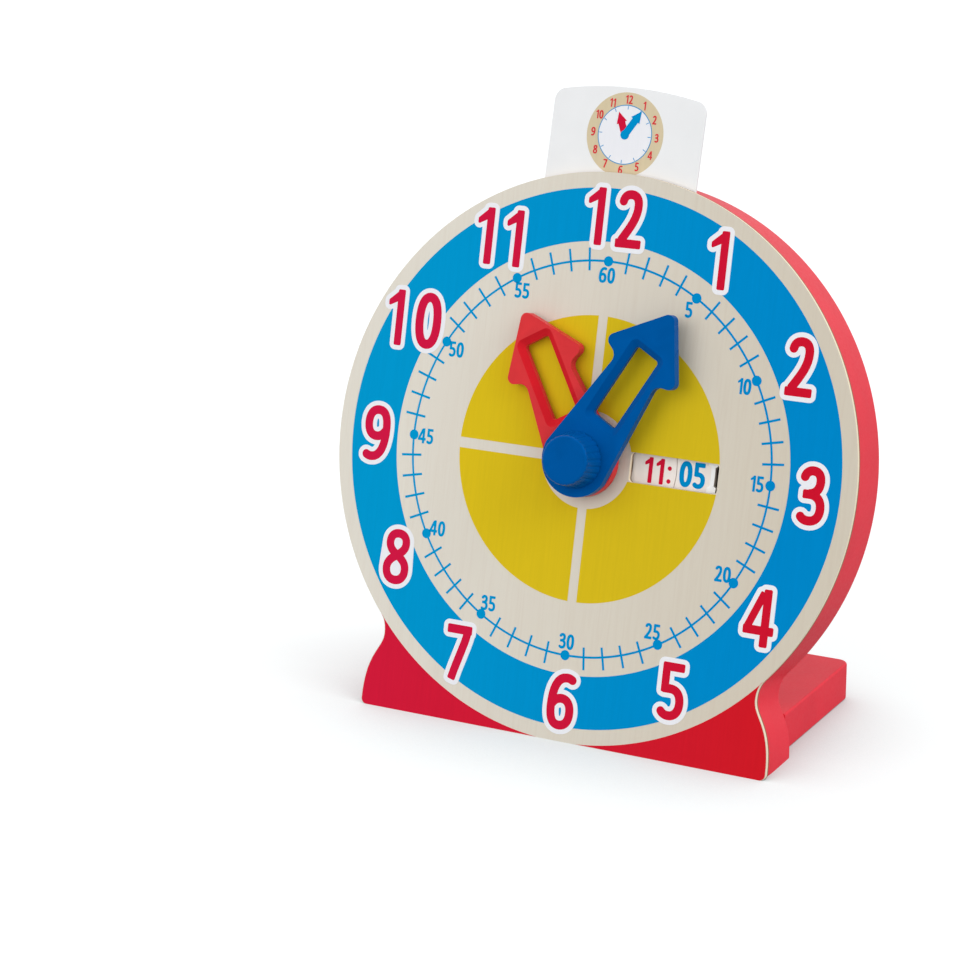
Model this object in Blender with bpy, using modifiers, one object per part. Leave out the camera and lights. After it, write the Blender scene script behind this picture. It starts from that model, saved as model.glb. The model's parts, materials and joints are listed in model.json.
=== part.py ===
"""Geared teaching clock.

A wooden clock face on a red drum leans back on a solid foot. Turning the knob turns the
minute hand and the minute disc. A 12 to 1 motion works behind the face turns the hour hand,
and a second 4 to 1 step from the same side shaft turns the hour disc in its drum, so both
discs show the time as figures in the window. A time card stands in a slot behind the face.

The clock is modelled flat, in the frame of its face: +X to the right, +Y towards twelve,
+Z out of the face, with the origin at the middle of the face's front. One parent empty
then leans it back on its foot. Lengths are in metres, and the world has +Z up.
"""

import math

import bmesh
import bpy
from mathutils import Matrix, Vector

mm = 0.001
degree = math.pi / 180

# Clearances
fit_gap = 0.3 * mm
cut_overrun = 5 * mm
weld_distance = 0.02 * mm

# Stance
lean_angle = 13.5 * degree

# Face board: a disc that runs out into a foot with an S-shaped side
board_radius = 144.4 * mm
board_thickness = 3 * mm
board_edge_round = 0.5 * mm
foot_cut = 0.3 * mm
foot_flare = 9.7 * mm
foot_corner_round = 3 * mm
foot_side_bulge = 18.5 * mm
waist_inset = 3.18 * mm
waist_height = 37 * mm
waist_bulge = 10.5 * mm
shoulder_angle = -41.3 * degree
shoulder_handle = 3.6 * mm

# Window in the face
window_left = 24.2 * mm
window_margin = 1.8 * mm
window_bottom = -8.2 * mm
window_top = 6.9 * mm
window_round = 2 * mm

# Drum body behind the board
body_inset = 1.2 * mm
body_back = 34 * mm
body_edge_round = 1.2 * mm
rim_wall = 12.2 * mm
top_flat = 8 * mm
bottom_flat = 11 * mm
ledge_width = 6 * mm

# Back panel and its screws
panel_thickness = 3 * mm
screw_head_radius = 2.6 * mm
screw_head_depth = 1.7 * mm
screw_shank_radius = 1.2 * mm
screw_length = 12 * mm
back_screw_angles = [angle * degree for angle in (0, 50, 130, 180, 230, 310)]

# Foot block behind the drum
block_inset = 5.4 * mm
block_height = 20.3 * mm
block_reach = 128 * mm
block_corner_round = 6 * mm
block_edge_round = 1.2 * mm
dowel_radius = 4 * mm
dowel_length = 34 * mm
dowel_inset = 30 * mm
dowel_rise = 17.5 * mm

# Time card and its slot
card_half_width = 42 * mm
card_depth = 14.2 * mm
card_side = 54.3 * mm
card_arch = 4.5 * mm
card_corner_round = 6.5 * mm
card_thickness = 1.2 * mm
card_play = 0.6 * mm
slot_floor_gap = 0.4 * mm

# Motion works: module, tooth counts and layers
gear_module = 0.8 * mm
pressure_angle = 20 * degree
tooth_tip_share = 0.78
tooth_root_share = 1.15
tooth_width_share = 0.8
hour_wheel_teeth = 32
lay_pinion_teeth = 8
lay_wheel_teeth = 30
cannon_teeth = 10
front_layer_near = 5.2 * mm
front_layer_far = 8.2 * mm
middle_layer_near = 8.6 * mm
middle_layer_far = 11.2 * mm
rear_layer_near = 11.6 * mm
rear_layer_far = 14.4 * mm

# Arbors
shaft_radius = 2.5 * mm
shaft_end = 21 * mm
tube_wall = 1.8 * mm
bush_wall = 2.2 * mm
bush_flange_radius = 10.5 * mm
stud_radius = 1.3 * mm
stud_depth = 2 * mm
stud_collar_radius = 2.2 * mm
washer_radius = 6 * mm
washer_thickness = 1 * mm
end_screw_head_radius = 3.2 * mm
end_screw_head_height = 1.8 * mm
end_screw_radius = 1.2 * mm
end_screw_length = 6 * mm

# Hour disc and its drum
hour_disc_radius = 47.6 * mm
hour_disc_hole = 24 * mm
disc_depth = 5 * mm
disc_thickness = 1.5 * mm
drum_wall = 1.5 * mm
drum_inner_radius = 29.6 * mm
drum_floor_depth = 14.8 * mm
drum_window_radius = 4.5 * mm
drum_window_circle = 21.5 * mm

# Minute disc, a figure ring with a notched lip, on the mouth of a cup
minute_disc_gap = 1 * mm
minute_ring_width = 21.8 * mm
lip_width = 5 * mm
lip_height = 1 * mm
click_count = 12
click_notch_radius = 10.5 * mm
click_notch_depth = 1.5 * mm
cup_wall = 1.6 * mm
cup_floor_depth = 17 * mm
cup_hub_radius = 9 * mm
cup_hub_length = 2 * mm
cup_hole_radius = 10 * mm
cup_hole_circle = 33 * mm
cup_hole_count = 6

# Click spring on its post
spring_thickness = 0.8 * mm
spring_width = 3 * mm
spring_nose_radius = 2.2 * mm
spring_reach = 34 * mm
post_radius = 4 * mm
post_height = 9 * mm

# Hands: both have an arrow head and a long slot
hour_hand_angle = 30 * degree
minute_hand_angle = -29.5 * degree
hour_hand_near = 2 * mm
hour_hand_far = 7.5 * mm
minute_hand_near = 8 * mm
minute_hand_far = 13 * mm
hour_hand_tip = 82.4 * mm
minute_hand_tip = 90.5 * mm
head_length = 35.3 * mm
head_half_width = 23.7 * mm
head_bottom_rise = 3.9 * mm
arm_half_width = 13 * mm
hand_hub_radius = 18.8 * mm
slot_start = 24.3 * mm
slot_end = 65.2 * mm
slot_half_width = 7.1 * mm
tip_round = 3.4 * mm
barb_round = 3.4 * mm
neck_round = 5 * mm
slot_round = 1.6 * mm
hand_edge_round = 0.7 * mm

# Knob
knob_front = 26 * mm
knob_front_radius = 13 * mm
knob_base_radius = 14.3 * mm
knob_chamfer = 1.4 * mm
knob_bore_end = 21 * mm
knob_groove_count = 24
knob_groove_radius = 1.3 * mm
knob_groove_depth = 0.5 * mm

# Facets
circle_steps = 72
disc_steps = 72
drum_steps = 48
small_steps = 24
tiny_steps = 12
side_steps = 10
corner_steps = 4
arch_steps = 14
flank_steps = 2
groove_sides = 6

# Derived sizes
foot_bottom = board_radius - foot_cut
waist_half_width = board_radius * math.cos(shoulder_angle) - waist_inset
foot_half_width = waist_half_width + foot_flare
cavity_radius = board_radius - body_inset - rim_wall
cavity_top = cavity_radius - top_flat
cavity_bottom = cavity_radius - bottom_flat
block_half_width = foot_half_width - block_inset
dowel_spread = foot_half_width - dowel_inset
dowel_drop = foot_bottom - dowel_rise
card_bottom = board_radius - card_depth
card_corner_top = card_bottom + card_side
centre_distance = gear_module * (hour_wheel_teeth + lay_pinion_teeth) / 2
tube_inner = shaft_radius + fit_gap
tube_outer = tube_inner + tube_wall
bush_inner = tube_outer + fit_gap
bush_outer = bush_inner + bush_wall
body_front = board_thickness + fit_gap
card_front = board_thickness + fit_gap
pocket_back = card_front + card_thickness + card_play
pocket_floor = card_bottom - slot_floor_gap
minute_inner_radius = hour_disc_radius + minute_disc_gap
minute_disc_radius = minute_inner_radius + minute_ring_width
window_right = minute_disc_radius + window_margin
disc_back = disc_depth + disc_thickness
cup_back = cup_floor_depth + cup_wall
hub_back = cup_back + cup_hub_length
cutter_reach = 2 * board_radius
lay_centre = Vector((-centre_distance, 0, 0))
lean = Matrix.Rotation(math.pi / 2 - lean_angle, 4, "X")


def face_to_world():
    """Return the matrix that stands the flat clock on its foot."""
    front_edge = lean @ Vector((0, -foot_bottom, 0))
    back_edge = body_back / math.cos(lean_angle)
    shift = -(back_edge + fit_gap + block_reach) / 2 - front_edge.y
    return Matrix.Translation((0, shift, -front_edge.z)) @ lean


stand = face_to_world()

parts = bpy.data.collections.new("geared_teaching_clock")
cutters = bpy.data.collections.new("cutters")


def clear_scene():
    for item in list(bpy.data.objects):
        bpy.data.objects.remove(item, do_unlink=True)
    bpy.context.scene.collection.children.link(parts)
    bpy.context.scene.collection.children.link(cutters)


def finish_material(name, colour, roughness, metallic=0.0):
    material = bpy.data.materials.new(name)
    material.use_nodes = True
    shader = material.node_tree.nodes["Principled BSDF"]
    shader.inputs["Base Color"].default_value = (*colour, 1)
    shader.inputs["Roughness"].default_value = roughness
    shader.inputs["Metallic"].default_value = metallic
    return material


plywood = finish_material("plywood", (0.75, 0.68, 0.56), 0.5)
red_paint = finish_material("red_paint", (0.70, 0.03, 0.05), 0.35)
hardboard = finish_material("hardboard", (0.35, 0.20, 0.11), 0.7)
beech = finish_material("beech", (0.70, 0.50, 0.32), 0.6)
blue_plastic = finish_material("blue_plastic", (0.0, 0.11, 0.42), 0.3)
red_plastic = finish_material("red_plastic", (0.75, 0.03, 0.05), 0.3)
white_plastic = finish_material("white_plastic", (0.86, 0.86, 0.86), 0.4)
gear_plastic = finish_material("gear_plastic", (0.80, 0.78, 0.70), 0.45)
steel = finish_material("steel", (0.55, 0.55, 0.56), 0.3, 1.0)
brass = finish_material("brass", (0.72, 0.53, 0.22), 0.3, 1.0)
card_stock = finish_material("card_stock", (0.88, 0.88, 0.88), 0.5)


def new_empty(name, parent, place=(0, 0, 0)):
    empty = bpy.data.objects.new(name, None)
    empty.parent = parent
    empty.location = place
    parts.objects.link(empty)
    return empty


def put(name, mesh, material, parent=None, place=(0, 0, 0), turn=0.0):
    item = bpy.data.objects.new(name, mesh)
    mesh.materials.clear()
    if material:
        mesh.materials.append(material)
        parts.objects.link(item)
    else:
        cutters.objects.link(item)
        item.hide_render = True
        item.display_type = "WIRE"
    item.parent = parent
    item.location = place
    item.rotation_euler = (0, 0, turn)
    return item


def circle(radius, steps, centre=(0, 0)):
    return [
        (
            centre[0] + radius * math.cos(2 * math.pi * step / steps),
            centre[1] + radius * math.sin(2 * math.pi * step / steps),
        )
        for step in range(steps)
    ]


def arc(radius, start, end, steps, centre=(0, 0)):
    return [
        (
            centre[0] + radius * math.cos(start + (end - start) * step / steps),
            centre[1] + radius * math.sin(start + (end - start) * step / steps),
        )
        for step in range(steps + 1)
    ]


def bezier(start, first, second, end, steps):
    """Points of a cubic curve, without its first point."""
    points = []
    for step in range(1, steps + 1):
        t = step / steps
        weights = ((1 - t) ** 3, 3 * t * (1 - t) ** 2, 3 * t * t * (1 - t), t**3)
        knots = (start, first, second, end)
        points.append(tuple(sum(w * k[axis] for w, k in zip(weights, knots)) for axis in (0, 1)))
    return points


def rounded(corners, steps=5):
    """Round each corner (x, y, radius) of a closed outline with an arc."""
    points = []
    for index, (x, y, radius) in enumerate(corners):
        here = Vector((x, y))
        before = (Vector(corners[index - 1][:2]) - here).normalized()
        after = (Vector(corners[(index + 1) % len(corners)][:2]) - here).normalized()
        half = before.angle(after) / 2
        if not radius:
            points.append((x, y))
            continue
        centre = here + (before + after).normalized() * radius / math.sin(half)
        start = here + before * radius / math.tan(half) - centre
        sweep = start.angle_signed(here + after * radius / math.tan(half) - centre)
        for step in range(steps + 1):
            point = centre + Matrix.Rotation(-sweep * step / steps, 2) @ start
            points.append((point.x, point.y))
    return points


def prism(name, loops, low, high, material, parent=None, place=(0, 0, 0), turn=0.0):
    """Fill flat outlines, with holes where loops nest, and give them a thickness."""
    curve = bpy.data.curves.new(name, "CURVE")
    curve.dimensions = "2D"
    curve.fill_mode = "BOTH"
    curve.extrude = (high - low) / 2
    for loop in loops:
        spline = curve.splines.new("POLY")
        spline.points.add(len(loop) - 1)
        for point, (x, y) in zip(spline.points, loop):
            point.co = (x, y, 0, 1)
        spline.use_cyclic_u = True
    outline = bpy.data.objects.new(name + "_outline", curve)
    cutters.objects.link(outline)
    graph = bpy.context.evaluated_depsgraph_get()
    mesh = bpy.data.meshes.new_from_object(outline.evaluated_get(graph))
    bpy.data.objects.remove(outline, do_unlink=True)
    mesh.name = name
    tidy = bmesh.new()
    tidy.from_mesh(mesh)
    bmesh.ops.remove_doubles(tidy, verts=tidy.verts, dist=weld_distance)
    bmesh.ops.dissolve_limit(
        tidy, angle_limit=degree, verts=tidy.verts, edges=tidy.edges
    )
    bmesh.ops.translate(tidy, verts=tidy.verts, vec=(0, 0, (high + low) / 2))
    bmesh.ops.recalc_face_normals(tidy, faces=tidy.faces)
    tidy.to_mesh(mesh)
    tidy.free()
    return put(name, mesh, material, parent, place, turn)


def turned(name, profile, steps, material, parent=None, place=(0, 0, 0)):
    """Turn a closed (radius, height) profile about +Z with a Screw modifier.

    The profile runs down its outer side, top to bottom, and back up its inner side.
    """
    mesh = bpy.data.meshes.new(name)
    points = [(radius, 0, height) for radius, height in profile]
    on_axis = profile[0][0] == 0
    edges = [(index, index + 1) for index in range(len(points) - 1)]
    if not on_axis:
        edges.append((len(points) - 1, 0))
    mesh.from_pydata(points, edges, [])
    item = put(name, mesh, material, parent, place)
    screw = item.modifiers.new("turn", "SCREW")
    screw.steps = steps
    screw.render_steps = steps
    screw.use_merge_vertices = True
    screw.merge_threshold = weld_distance
    screw.use_smooth_shade = True
    return item


def cut(target, cutter, operation="DIFFERENCE"):
    boolean = target.modifiers.new(cutter.name, "BOOLEAN")
    boolean.operation = operation
    boolean.object = cutter
    boolean.solver = "EXACT"


def soften(target, width, segments=2):
    bevel = target.modifiers.new("soft_edges", "BEVEL")
    bevel.width = width
    bevel.segments = segments
    bevel.limit_method = "ANGLE"
    bevel.angle_limit = 40 * degree
    bevel.use_clamp_overlap = True


def board_outline(inset):
    """The face's outline: a disc with an S-shaped foot, drawn in by the inset."""
    radius = board_radius - inset
    shoulder = (radius * math.cos(shoulder_angle), radius * math.sin(shoulder_angle))
    steps = round(circle_steps * (math.pi - 2 * shoulder_angle) / (2 * math.pi))
    points = arc(radius, shoulder_angle, math.pi - shoulder_angle, steps)
    waist = (waist_half_width - inset, -foot_bottom + waist_height)
    corner_top = (foot_half_width - inset, -foot_bottom + foot_corner_round)
    handle = (
        shoulder[0] + shoulder_handle * math.sin(shoulder_angle),
        shoulder[1] - shoulder_handle * math.cos(shoulder_angle),
    )
    waist_handle = (waist[0], waist[1] + shoulder_handle)
    side = bezier(shoulder, handle, waist_handle, waist, corner_steps)
    side += bezier(
        waist,
        (waist[0], waist[1] - waist_bulge),
        (corner_top[0], corner_top[1] + foot_side_bulge),
        corner_top,
        side_steps,
    )
    corner = (corner_top[0] - foot_corner_round, corner_top[1])
    side += arc(foot_corner_round, 0, -math.pi / 2, corner_steps, corner)[1:]
    left = [(-x, y) for x, y in side]
    return points + left + side[::-1]


def banded_circle(radius, low, high):
    """A circle cut flat at the bottom and at the top."""
    top = math.asin(high / radius)
    bottom = math.asin(low / radius)
    right = arc(radius, bottom, top, small_steps)
    return right + [(-x, y) for x, y in right[::-1]]


def floor_cutter():
    """Everything below the table, in the frame of the face."""
    mesh = bpy.data.meshes.new("floor_cutter")
    shape = bmesh.new()
    bmesh.ops.create_cube(shape, size=2 * cutter_reach)
    bmesh.ops.translate(shape, verts=shape.verts, vec=(0, 0, -cutter_reach))
    bmesh.ops.transform(shape, matrix=stand.inverted(), verts=shape.verts)
    shape.to_mesh(mesh)
    shape.free()
    return put("floor_cutter", mesh, None, face)


def gear_outline(teeth, phase):
    """An involute wheel's outline, with one tooth centred on the phase angle."""
    pitch = gear_module * teeth / 2
    base = pitch * math.cos(pressure_angle)
    tip = pitch + gear_module * tooth_tip_share
    root = pitch - gear_module * tooth_root_share
    half = tooth_width_share * math.pi / (2 * teeth)
    half_at_base = half + math.tan(pressure_angle) - pressure_angle

    def flank_angle(radius):
        roll = math.acos(min(1.0, base / radius))
        return half_at_base - (math.tan(roll) - roll)

    foot = max(root, base)
    radii = [foot + (tip - foot) * step / flank_steps for step in range(flank_steps + 1)]
    flank = [(radius, flank_angle(radius)) for radius in radii]
    if base - root > gear_module / 4:
        flank.insert(0, (root, half_at_base))
    points = []
    for tooth in range(teeth):
        middle = phase + 2 * math.pi * tooth / teeth
        side = [(radius, middle - angle) for radius, angle in flank]
        side += [(radius, middle + angle) for radius, angle in flank[::-1]]
        points += [(radius * math.cos(turn), radius * math.sin(turn)) for radius, turn in side]
    return points


def gear(name, teeth, phase, bore, low, high, parent, place=(0, 0, 0)):
    loops = [gear_outline(teeth, phase), circle(bore, small_steps)]
    return prism(name, loops, low, high, gear_plastic, parent, place)


def hand_outline(tip):
    """A round hub, two straight arms and an arrow head, pointing along +Y."""
    head = tip - head_length
    swing = math.asin((hand_hub_radius - arm_half_width) / head)
    hub = arc(hand_hub_radius, -swing, -math.pi + swing, small_steps)
    right = [
        (-arm_half_width, head, neck_round),
        (-head_half_width, head + head_bottom_rise, barb_round),
        (0, tip, tip_round),
        (head_half_width, head + head_bottom_rise, barb_round),
        (arm_half_width, head, neck_round),
    ]
    corners = [(x, y, 0) for x, y in hub] + right
    return rounded(corners)


def build_hand(name, tip, low, high, angle, bore, material, parent):
    slot = rounded(
        [
            (-slot_half_width, slot_start, slot_round),
            (slot_half_width, slot_start, slot_round),
            (slot_half_width, slot_end, slot_round),
            (-slot_half_width, slot_end, slot_round),
        ],
        corner_steps,
    )
    loops = [hand_outline(tip), slot, circle(bore, small_steps)]
    hand = prism(name, loops, low, high, material, parent, turn=angle)
    soften(hand, hand_edge_round, 1)
    return hand


def screw_profile(head_radius, head_depth, shank_radius, length, grow=0.0):
    """A countersunk screw whose head's flat top is at zero height."""
    return [
        (0, 0),
        (head_radius + grow, 0),
        (shank_radius + grow, -head_depth),
        (shank_radius + grow, -length + shank_radius - grow),
        (0, -length - grow),
    ]


def build_board():
    window = rounded(
        [
            (window_left, window_bottom, window_round),
            (window_right, window_bottom, window_round),
            (window_right, window_top, window_round),
            (window_left, window_top, window_round),
        ]
    )
    bore = circle(bush_outer + fit_gap, small_steps)
    board = prism(
        "front_board", [board_outline(0), window, bore], -board_thickness, 0, plywood, face
    )
    soften(board, board_edge_round, 1)
    stud_hole = prism(
        "stud_hole",
        [circle(stud_radius + fit_gap, tiny_steps)],
        -board_thickness - cut_overrun,
        -board_thickness + stud_depth + fit_gap,
        None,
        face,
        lay_centre,
    )
    cut(board, stud_hole)
    cut(board, floor)
    return board


def build_body():
    body = prism(
        "body_rim", [board_outline(body_inset)], -body_back, -body_front, red_paint, face
    )
    soften(body, body_edge_round, 1)
    cavity = prism(
        "cavity",
        [banded_circle(cavity_radius, -cavity_bottom, cavity_top)],
        -body_back - cut_overrun,
        -body_front + cut_overrun,
        None,
        face,
    )
    ledge = prism(
        "panel_seat",
        [
            banded_circle(
                cavity_radius + ledge_width,
                -cavity_bottom - ledge_width,
                cavity_top + ledge_width,
            )
        ],
        -body_back - cut_overrun,
        -body_back + panel_thickness + fit_gap,
        None,
        face,
    )
    pocket_half = card_half_width + card_play
    pocket = prism(
        "card_pocket",
        [
            [
                (-pocket_half, pocket_floor),
                (pocket_half, pocket_floor),
                (pocket_half, board_radius + cut_overrun),
                (-pocket_half, board_radius + cut_overrun),
            ]
        ],
        -pocket_back,
        -body_front + cut_overrun,
        None,
        face,
    )
    for cutter in (cavity, ledge, pocket):
        cut(body, cutter)
    return body


def build_panel():
    seat = ledge_width - fit_gap
    outline = banded_circle(cavity_radius + seat, -cavity_bottom - seat, cavity_top + seat)
    panel = prism(
        "back_panel", [outline], -body_back, -body_back + panel_thickness, hardboard, face
    )
    return panel


def build_back_screws(body, panel):
    screw_circle = cavity_radius + ledge_width / 2
    size = (screw_head_radius, screw_head_depth, screw_shank_radius, screw_length)
    for index, angle in enumerate(back_screw_angles, 1):
        place = (screw_circle * math.cos(angle), screw_circle * math.sin(angle), -body_back)
        screw = turned(
            "back_screw_%d" % index, screw_profile(*size), tiny_steps, steel, face, place
        )
        screw.rotation_euler = (math.pi, 0, 0)
        seat_profile = screw_profile(*size, grow=fit_gap)
        seat_profile = [(0, cut_overrun), (seat_profile[1][0], cut_overrun)] + seat_profile[1:]
        hole = turned(
            "back_screw_hole_%d" % index, seat_profile, tiny_steps, None, face, place
        )
        hole.rotation_euler = (math.pi, 0, 0)
        cut(panel, hole)
        cut(body, hole)


def build_block(body):
    """A solid foot block, cut to the slope of the drum's back."""
    back_line = (stand @ Vector((0, -foot_bottom, -body_back))).y
    rear = (stand @ Vector((0, -foot_bottom, 0))).y + block_reach
    plan = rounded(
        [
            (-block_half_width, back_line - cut_overrun, 0),
            (block_half_width, back_line - cut_overrun, 0),
            (block_half_width, rear, block_corner_round),
            (-block_half_width, rear, block_corner_round),
        ]
    )
    block = prism("base_block", [plan], 0, block_height, red_paint)
    soften(block, block_edge_round)
    slope = prism(
        "slope_cutter",
        [
            [
                (-board_radius, -cutter_reach),
                (board_radius, -cutter_reach),
                (board_radius, board_radius),
                (-board_radius, board_radius),
            ]
        ],
        -body_back - fit_gap,
        board_radius,
        None,
        face,
    )
    cut(block, slope)
    for side, label in ((-1, "left"), (1, "right")):
        place = (side * dowel_spread, -dowel_drop, -body_back)
        half = dowel_length / 2
        prism(
            "base_dowel_" + label,
            [circle(dowel_radius, small_steps)],
            -half,
            half,
            beech,
            face,
            place,
        )
        hole = prism(
            "dowel_hole_" + label,
            [circle(dowel_radius + fit_gap, small_steps)],
            -half - fit_gap,
            half + fit_gap,
            None,
            face,
            place,
        )
        cut(body, hole)
        cut(block, hole)
    return block


def build_card():
    rise = card_arch
    half = card_half_width
    radius = (half * half + rise * rise) / (2 * rise)
    spread = math.asin((half - card_corner_round) / radius)
    centre = (0, card_corner_top + rise - radius)
    top = arc(radius, math.pi / 2 - spread, math.pi / 2 + spread, arch_steps, centre)
    corners = [(x, y, 0) for x, y in top]
    corners.append((-half, top[-1][1] - (half + top[-1][0]) * math.tan(spread), card_corner_round))
    corners += [(-half, card_bottom, 0), (half, card_bottom, 0)]
    corners.append((half, top[0][1] - (half - top[0][0]) * math.tan(spread), card_corner_round))
    return prism(
        "time_card",
        [rounded(corners)],
        -card_front - card_thickness,
        -card_front,
        card_stock,
        card_guide,
    )


def build_arbors():
    """The bush, the hour tube and the minute shaft turn inside one another."""
    turned(
        "hub_bush",
        [
            (bush_inner, hour_hand_near - fit_gap),
            (bush_flange_radius, hour_hand_near - fit_gap),
            (bush_flange_radius, fit_gap),
            (bush_outer, fit_gap),
            (bush_outer, -board_thickness),
            (bush_inner, -board_thickness),
        ],
        small_steps,
        brass,
        face,
    )
    tube_front = hour_hand_far - hand_edge_round
    turned(
        "hour_tube",
        [
            (tube_inner, tube_front),
            (tube_outer, tube_front),
            (tube_outer, -front_layer_far),
            (tube_inner, -front_layer_far),
        ],
        small_steps,
        brass,
        hour_axis,
    )
    shaft_front = knob_bore_end - fit_gap
    drill = end_screw_radius + fit_gap
    turned(
        "minute_shaft",
        [
            (0, shaft_front),
            (shaft_radius, shaft_front),
            (shaft_radius, -shaft_end),
            (drill, -shaft_end),
            (drill, -shaft_end + end_screw_length),
            (0, -shaft_end + end_screw_length + drill),
        ],
        small_steps,
        steel,
        minute_axis,
    )
    washer_top = -max(shaft_end, hub_back) - fit_gap
    turned(
        "shaft_washer",
        [
            (drill, washer_top),
            (washer_radius, washer_top),
            (washer_radius, washer_top - washer_thickness),
            (drill, washer_top - washer_thickness),
        ],
        small_steps,
        steel,
        minute_axis,
    )
    seat = washer_top - washer_thickness - fit_gap
    tip = -shaft_end + end_screw_length - end_screw_radius
    turned(
        "shaft_screw",
        [
            (0, tip),
            (end_screw_radius, tip - end_screw_radius),
            (end_screw_radius, seat),
            (end_screw_head_radius, seat),
            (end_screw_head_radius, seat - end_screw_head_height),
            (0, seat - end_screw_head_height),
        ],
        tiny_steps,
        steel,
        minute_axis,
    )


def build_motion_works():
    """Cannon pinion, side shaft and hour wheel reduce the knob's turn 12 to 1."""
    half_pitch = math.pi / hour_wheel_teeth
    gear(
        "cannon_pinion",
        cannon_teeth,
        math.pi + math.pi / cannon_teeth,
        shaft_radius + fit_gap,
        -middle_layer_far,
        -middle_layer_near,
        minute_axis,
    )
    gear(
        "hour_wheel",
        hour_wheel_teeth,
        math.pi + half_pitch,
        tube_outer + fit_gap,
        -front_layer_far,
        -front_layer_near,
        hour_axis,
    )
    bore = stud_radius + fit_gap
    gear("front_pinion", lay_pinion_teeth, 0, bore, -front_layer_far, -front_layer_near, lay_axis)
    gear("lay_wheel", lay_wheel_teeth, 0, bore, -middle_layer_far, -middle_layer_near, lay_axis)
    gear("rear_pinion", lay_pinion_teeth, 0, bore, -rear_layer_far, -rear_layer_near, lay_axis)
    gear(
        "drum_gear",
        hour_wheel_teeth,
        math.pi + half_pitch,
        tube_outer + fit_gap,
        -rear_layer_far,
        -rear_layer_near,
        display_axis,
    )
    collar_top = -board_thickness - fit_gap
    collar_end = -front_layer_near + fit_gap
    turned(
        "lay_stud",
        [
            (0, -board_thickness + stud_depth),
            (stud_radius, -board_thickness + stud_depth),
            (stud_radius, collar_top),
            (stud_collar_radius, collar_top),
            (stud_collar_radius, collar_end),
            (stud_radius, collar_end),
            (stud_radius, -rear_layer_far),
            (0, -rear_layer_far),
        ],
        tiny_steps,
        steel,
        face,
        lay_centre,
    )


def build_hour_display():
    """A flat disc of hour figures on the rim of a cup that clears the side wheel."""
    prism(
        "hour_disc",
        [circle(hour_disc_radius, disc_steps), circle(hour_disc_hole, disc_steps)],
        -disc_back,
        -disc_depth,
        white_plastic,
        display_axis,
    )
    rim = -disc_back - fit_gap
    outer = drum_inner_radius + drum_wall
    floor_back = drum_floor_depth + drum_wall
    drum = turned(
        "hour_drum",
        [
            (drum_inner_radius, rim),
            (outer, rim),
            (outer, -floor_back),
            (tube_inner, -floor_back),
            (tube_inner, -rear_layer_near),
            (tube_outer, -rear_layer_near),
            (tube_outer, -drum_floor_depth),
            (drum_inner_radius, -drum_floor_depth),
        ],
        drum_steps,
        white_plastic,
        display_axis,
    )
    for index in range(3):
        angle = math.pi / 2 + 2 * math.pi * index / 3
        hole = prism(
            "drum_window_%d" % (index + 1),
            [circle(drum_window_radius, tiny_steps)],
            -floor_back - cut_overrun,
            -drum_floor_depth + fit_gap,
            None,
            display_axis,
            (drum_window_circle * math.cos(angle), drum_window_circle * math.sin(angle), 0),
        )
        cut(drum, hole)


def scalloped(radius, inward):
    """A circle with a shallow round notch, or a bump where inward is -1, at each click."""
    reach = radius + inward * (click_notch_radius - click_notch_depth)
    squares = radius**2 + reach**2 - click_notch_radius**2
    half = math.acos(squares / (2 * radius * reach))
    bow = math.asin(radius * math.sin(half) / click_notch_radius)
    points = []
    for index in range(click_count):
        middle = 2 * math.pi * index / click_count
        after = middle + 2 * math.pi / click_count
        centre = (reach * math.cos(middle), reach * math.sin(middle))
        facing = middle + math.pi * (1 + inward) / 2
        ends = (facing + inward * bow, facing - inward * bow)
        points += arc(click_notch_radius, *ends, corner_steps, centre)
        points += arc(radius, middle + half, after - half, corner_steps)[1:-1]
    return points


def build_minute_disc():
    """A flat figure ring with a raised lip, whose outer notches meet the click spring."""
    lip_front = disc_depth - lip_height
    outlines = [scalloped(minute_disc_radius, 1), circle(minute_inner_radius, disc_steps)]
    disc = prism("minute_disc", outlines, -disc_back, -lip_front, white_plastic, minute_axis)
    recess = prism(
        "lip_recess",
        [scalloped(minute_disc_radius - lip_width, -1)],
        -disc_depth,
        cut_overrun,
        None,
        minute_axis,
    )
    cut(disc, recess)


def build_minute_cup():
    """The cup behind the minute disc passes round the hour drum to the shaft."""
    wall_outer = minute_inner_radius + cup_wall
    rim = -disc_back - fit_gap
    cup = turned(
        "minute_cup",
        [
            (minute_inner_radius, rim),
            (wall_outer, rim),
            (wall_outer, -cup_back),
            (cup_hub_radius, -cup_back),
            (cup_hub_radius, -hub_back),
            (tube_inner, -hub_back),
            (tube_inner, -cup_floor_depth),
            (minute_inner_radius, -cup_floor_depth),
        ],
        drum_steps,
        white_plastic,
        minute_axis,
    )
    for index in range(cup_hole_count):
        angle = 2 * math.pi * index / cup_hole_count
        hole = prism(
            "cup_hole_%d" % (index + 1),
            [circle(cup_hole_radius, tiny_steps)],
            -cup_back - cut_overrun,
            -cup_floor_depth + fit_gap,
            None,
            minute_axis,
            (cup_hole_circle * math.cos(angle), cup_hole_circle * math.sin(angle), 0),
        )
        cut(cup, hole)


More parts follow.
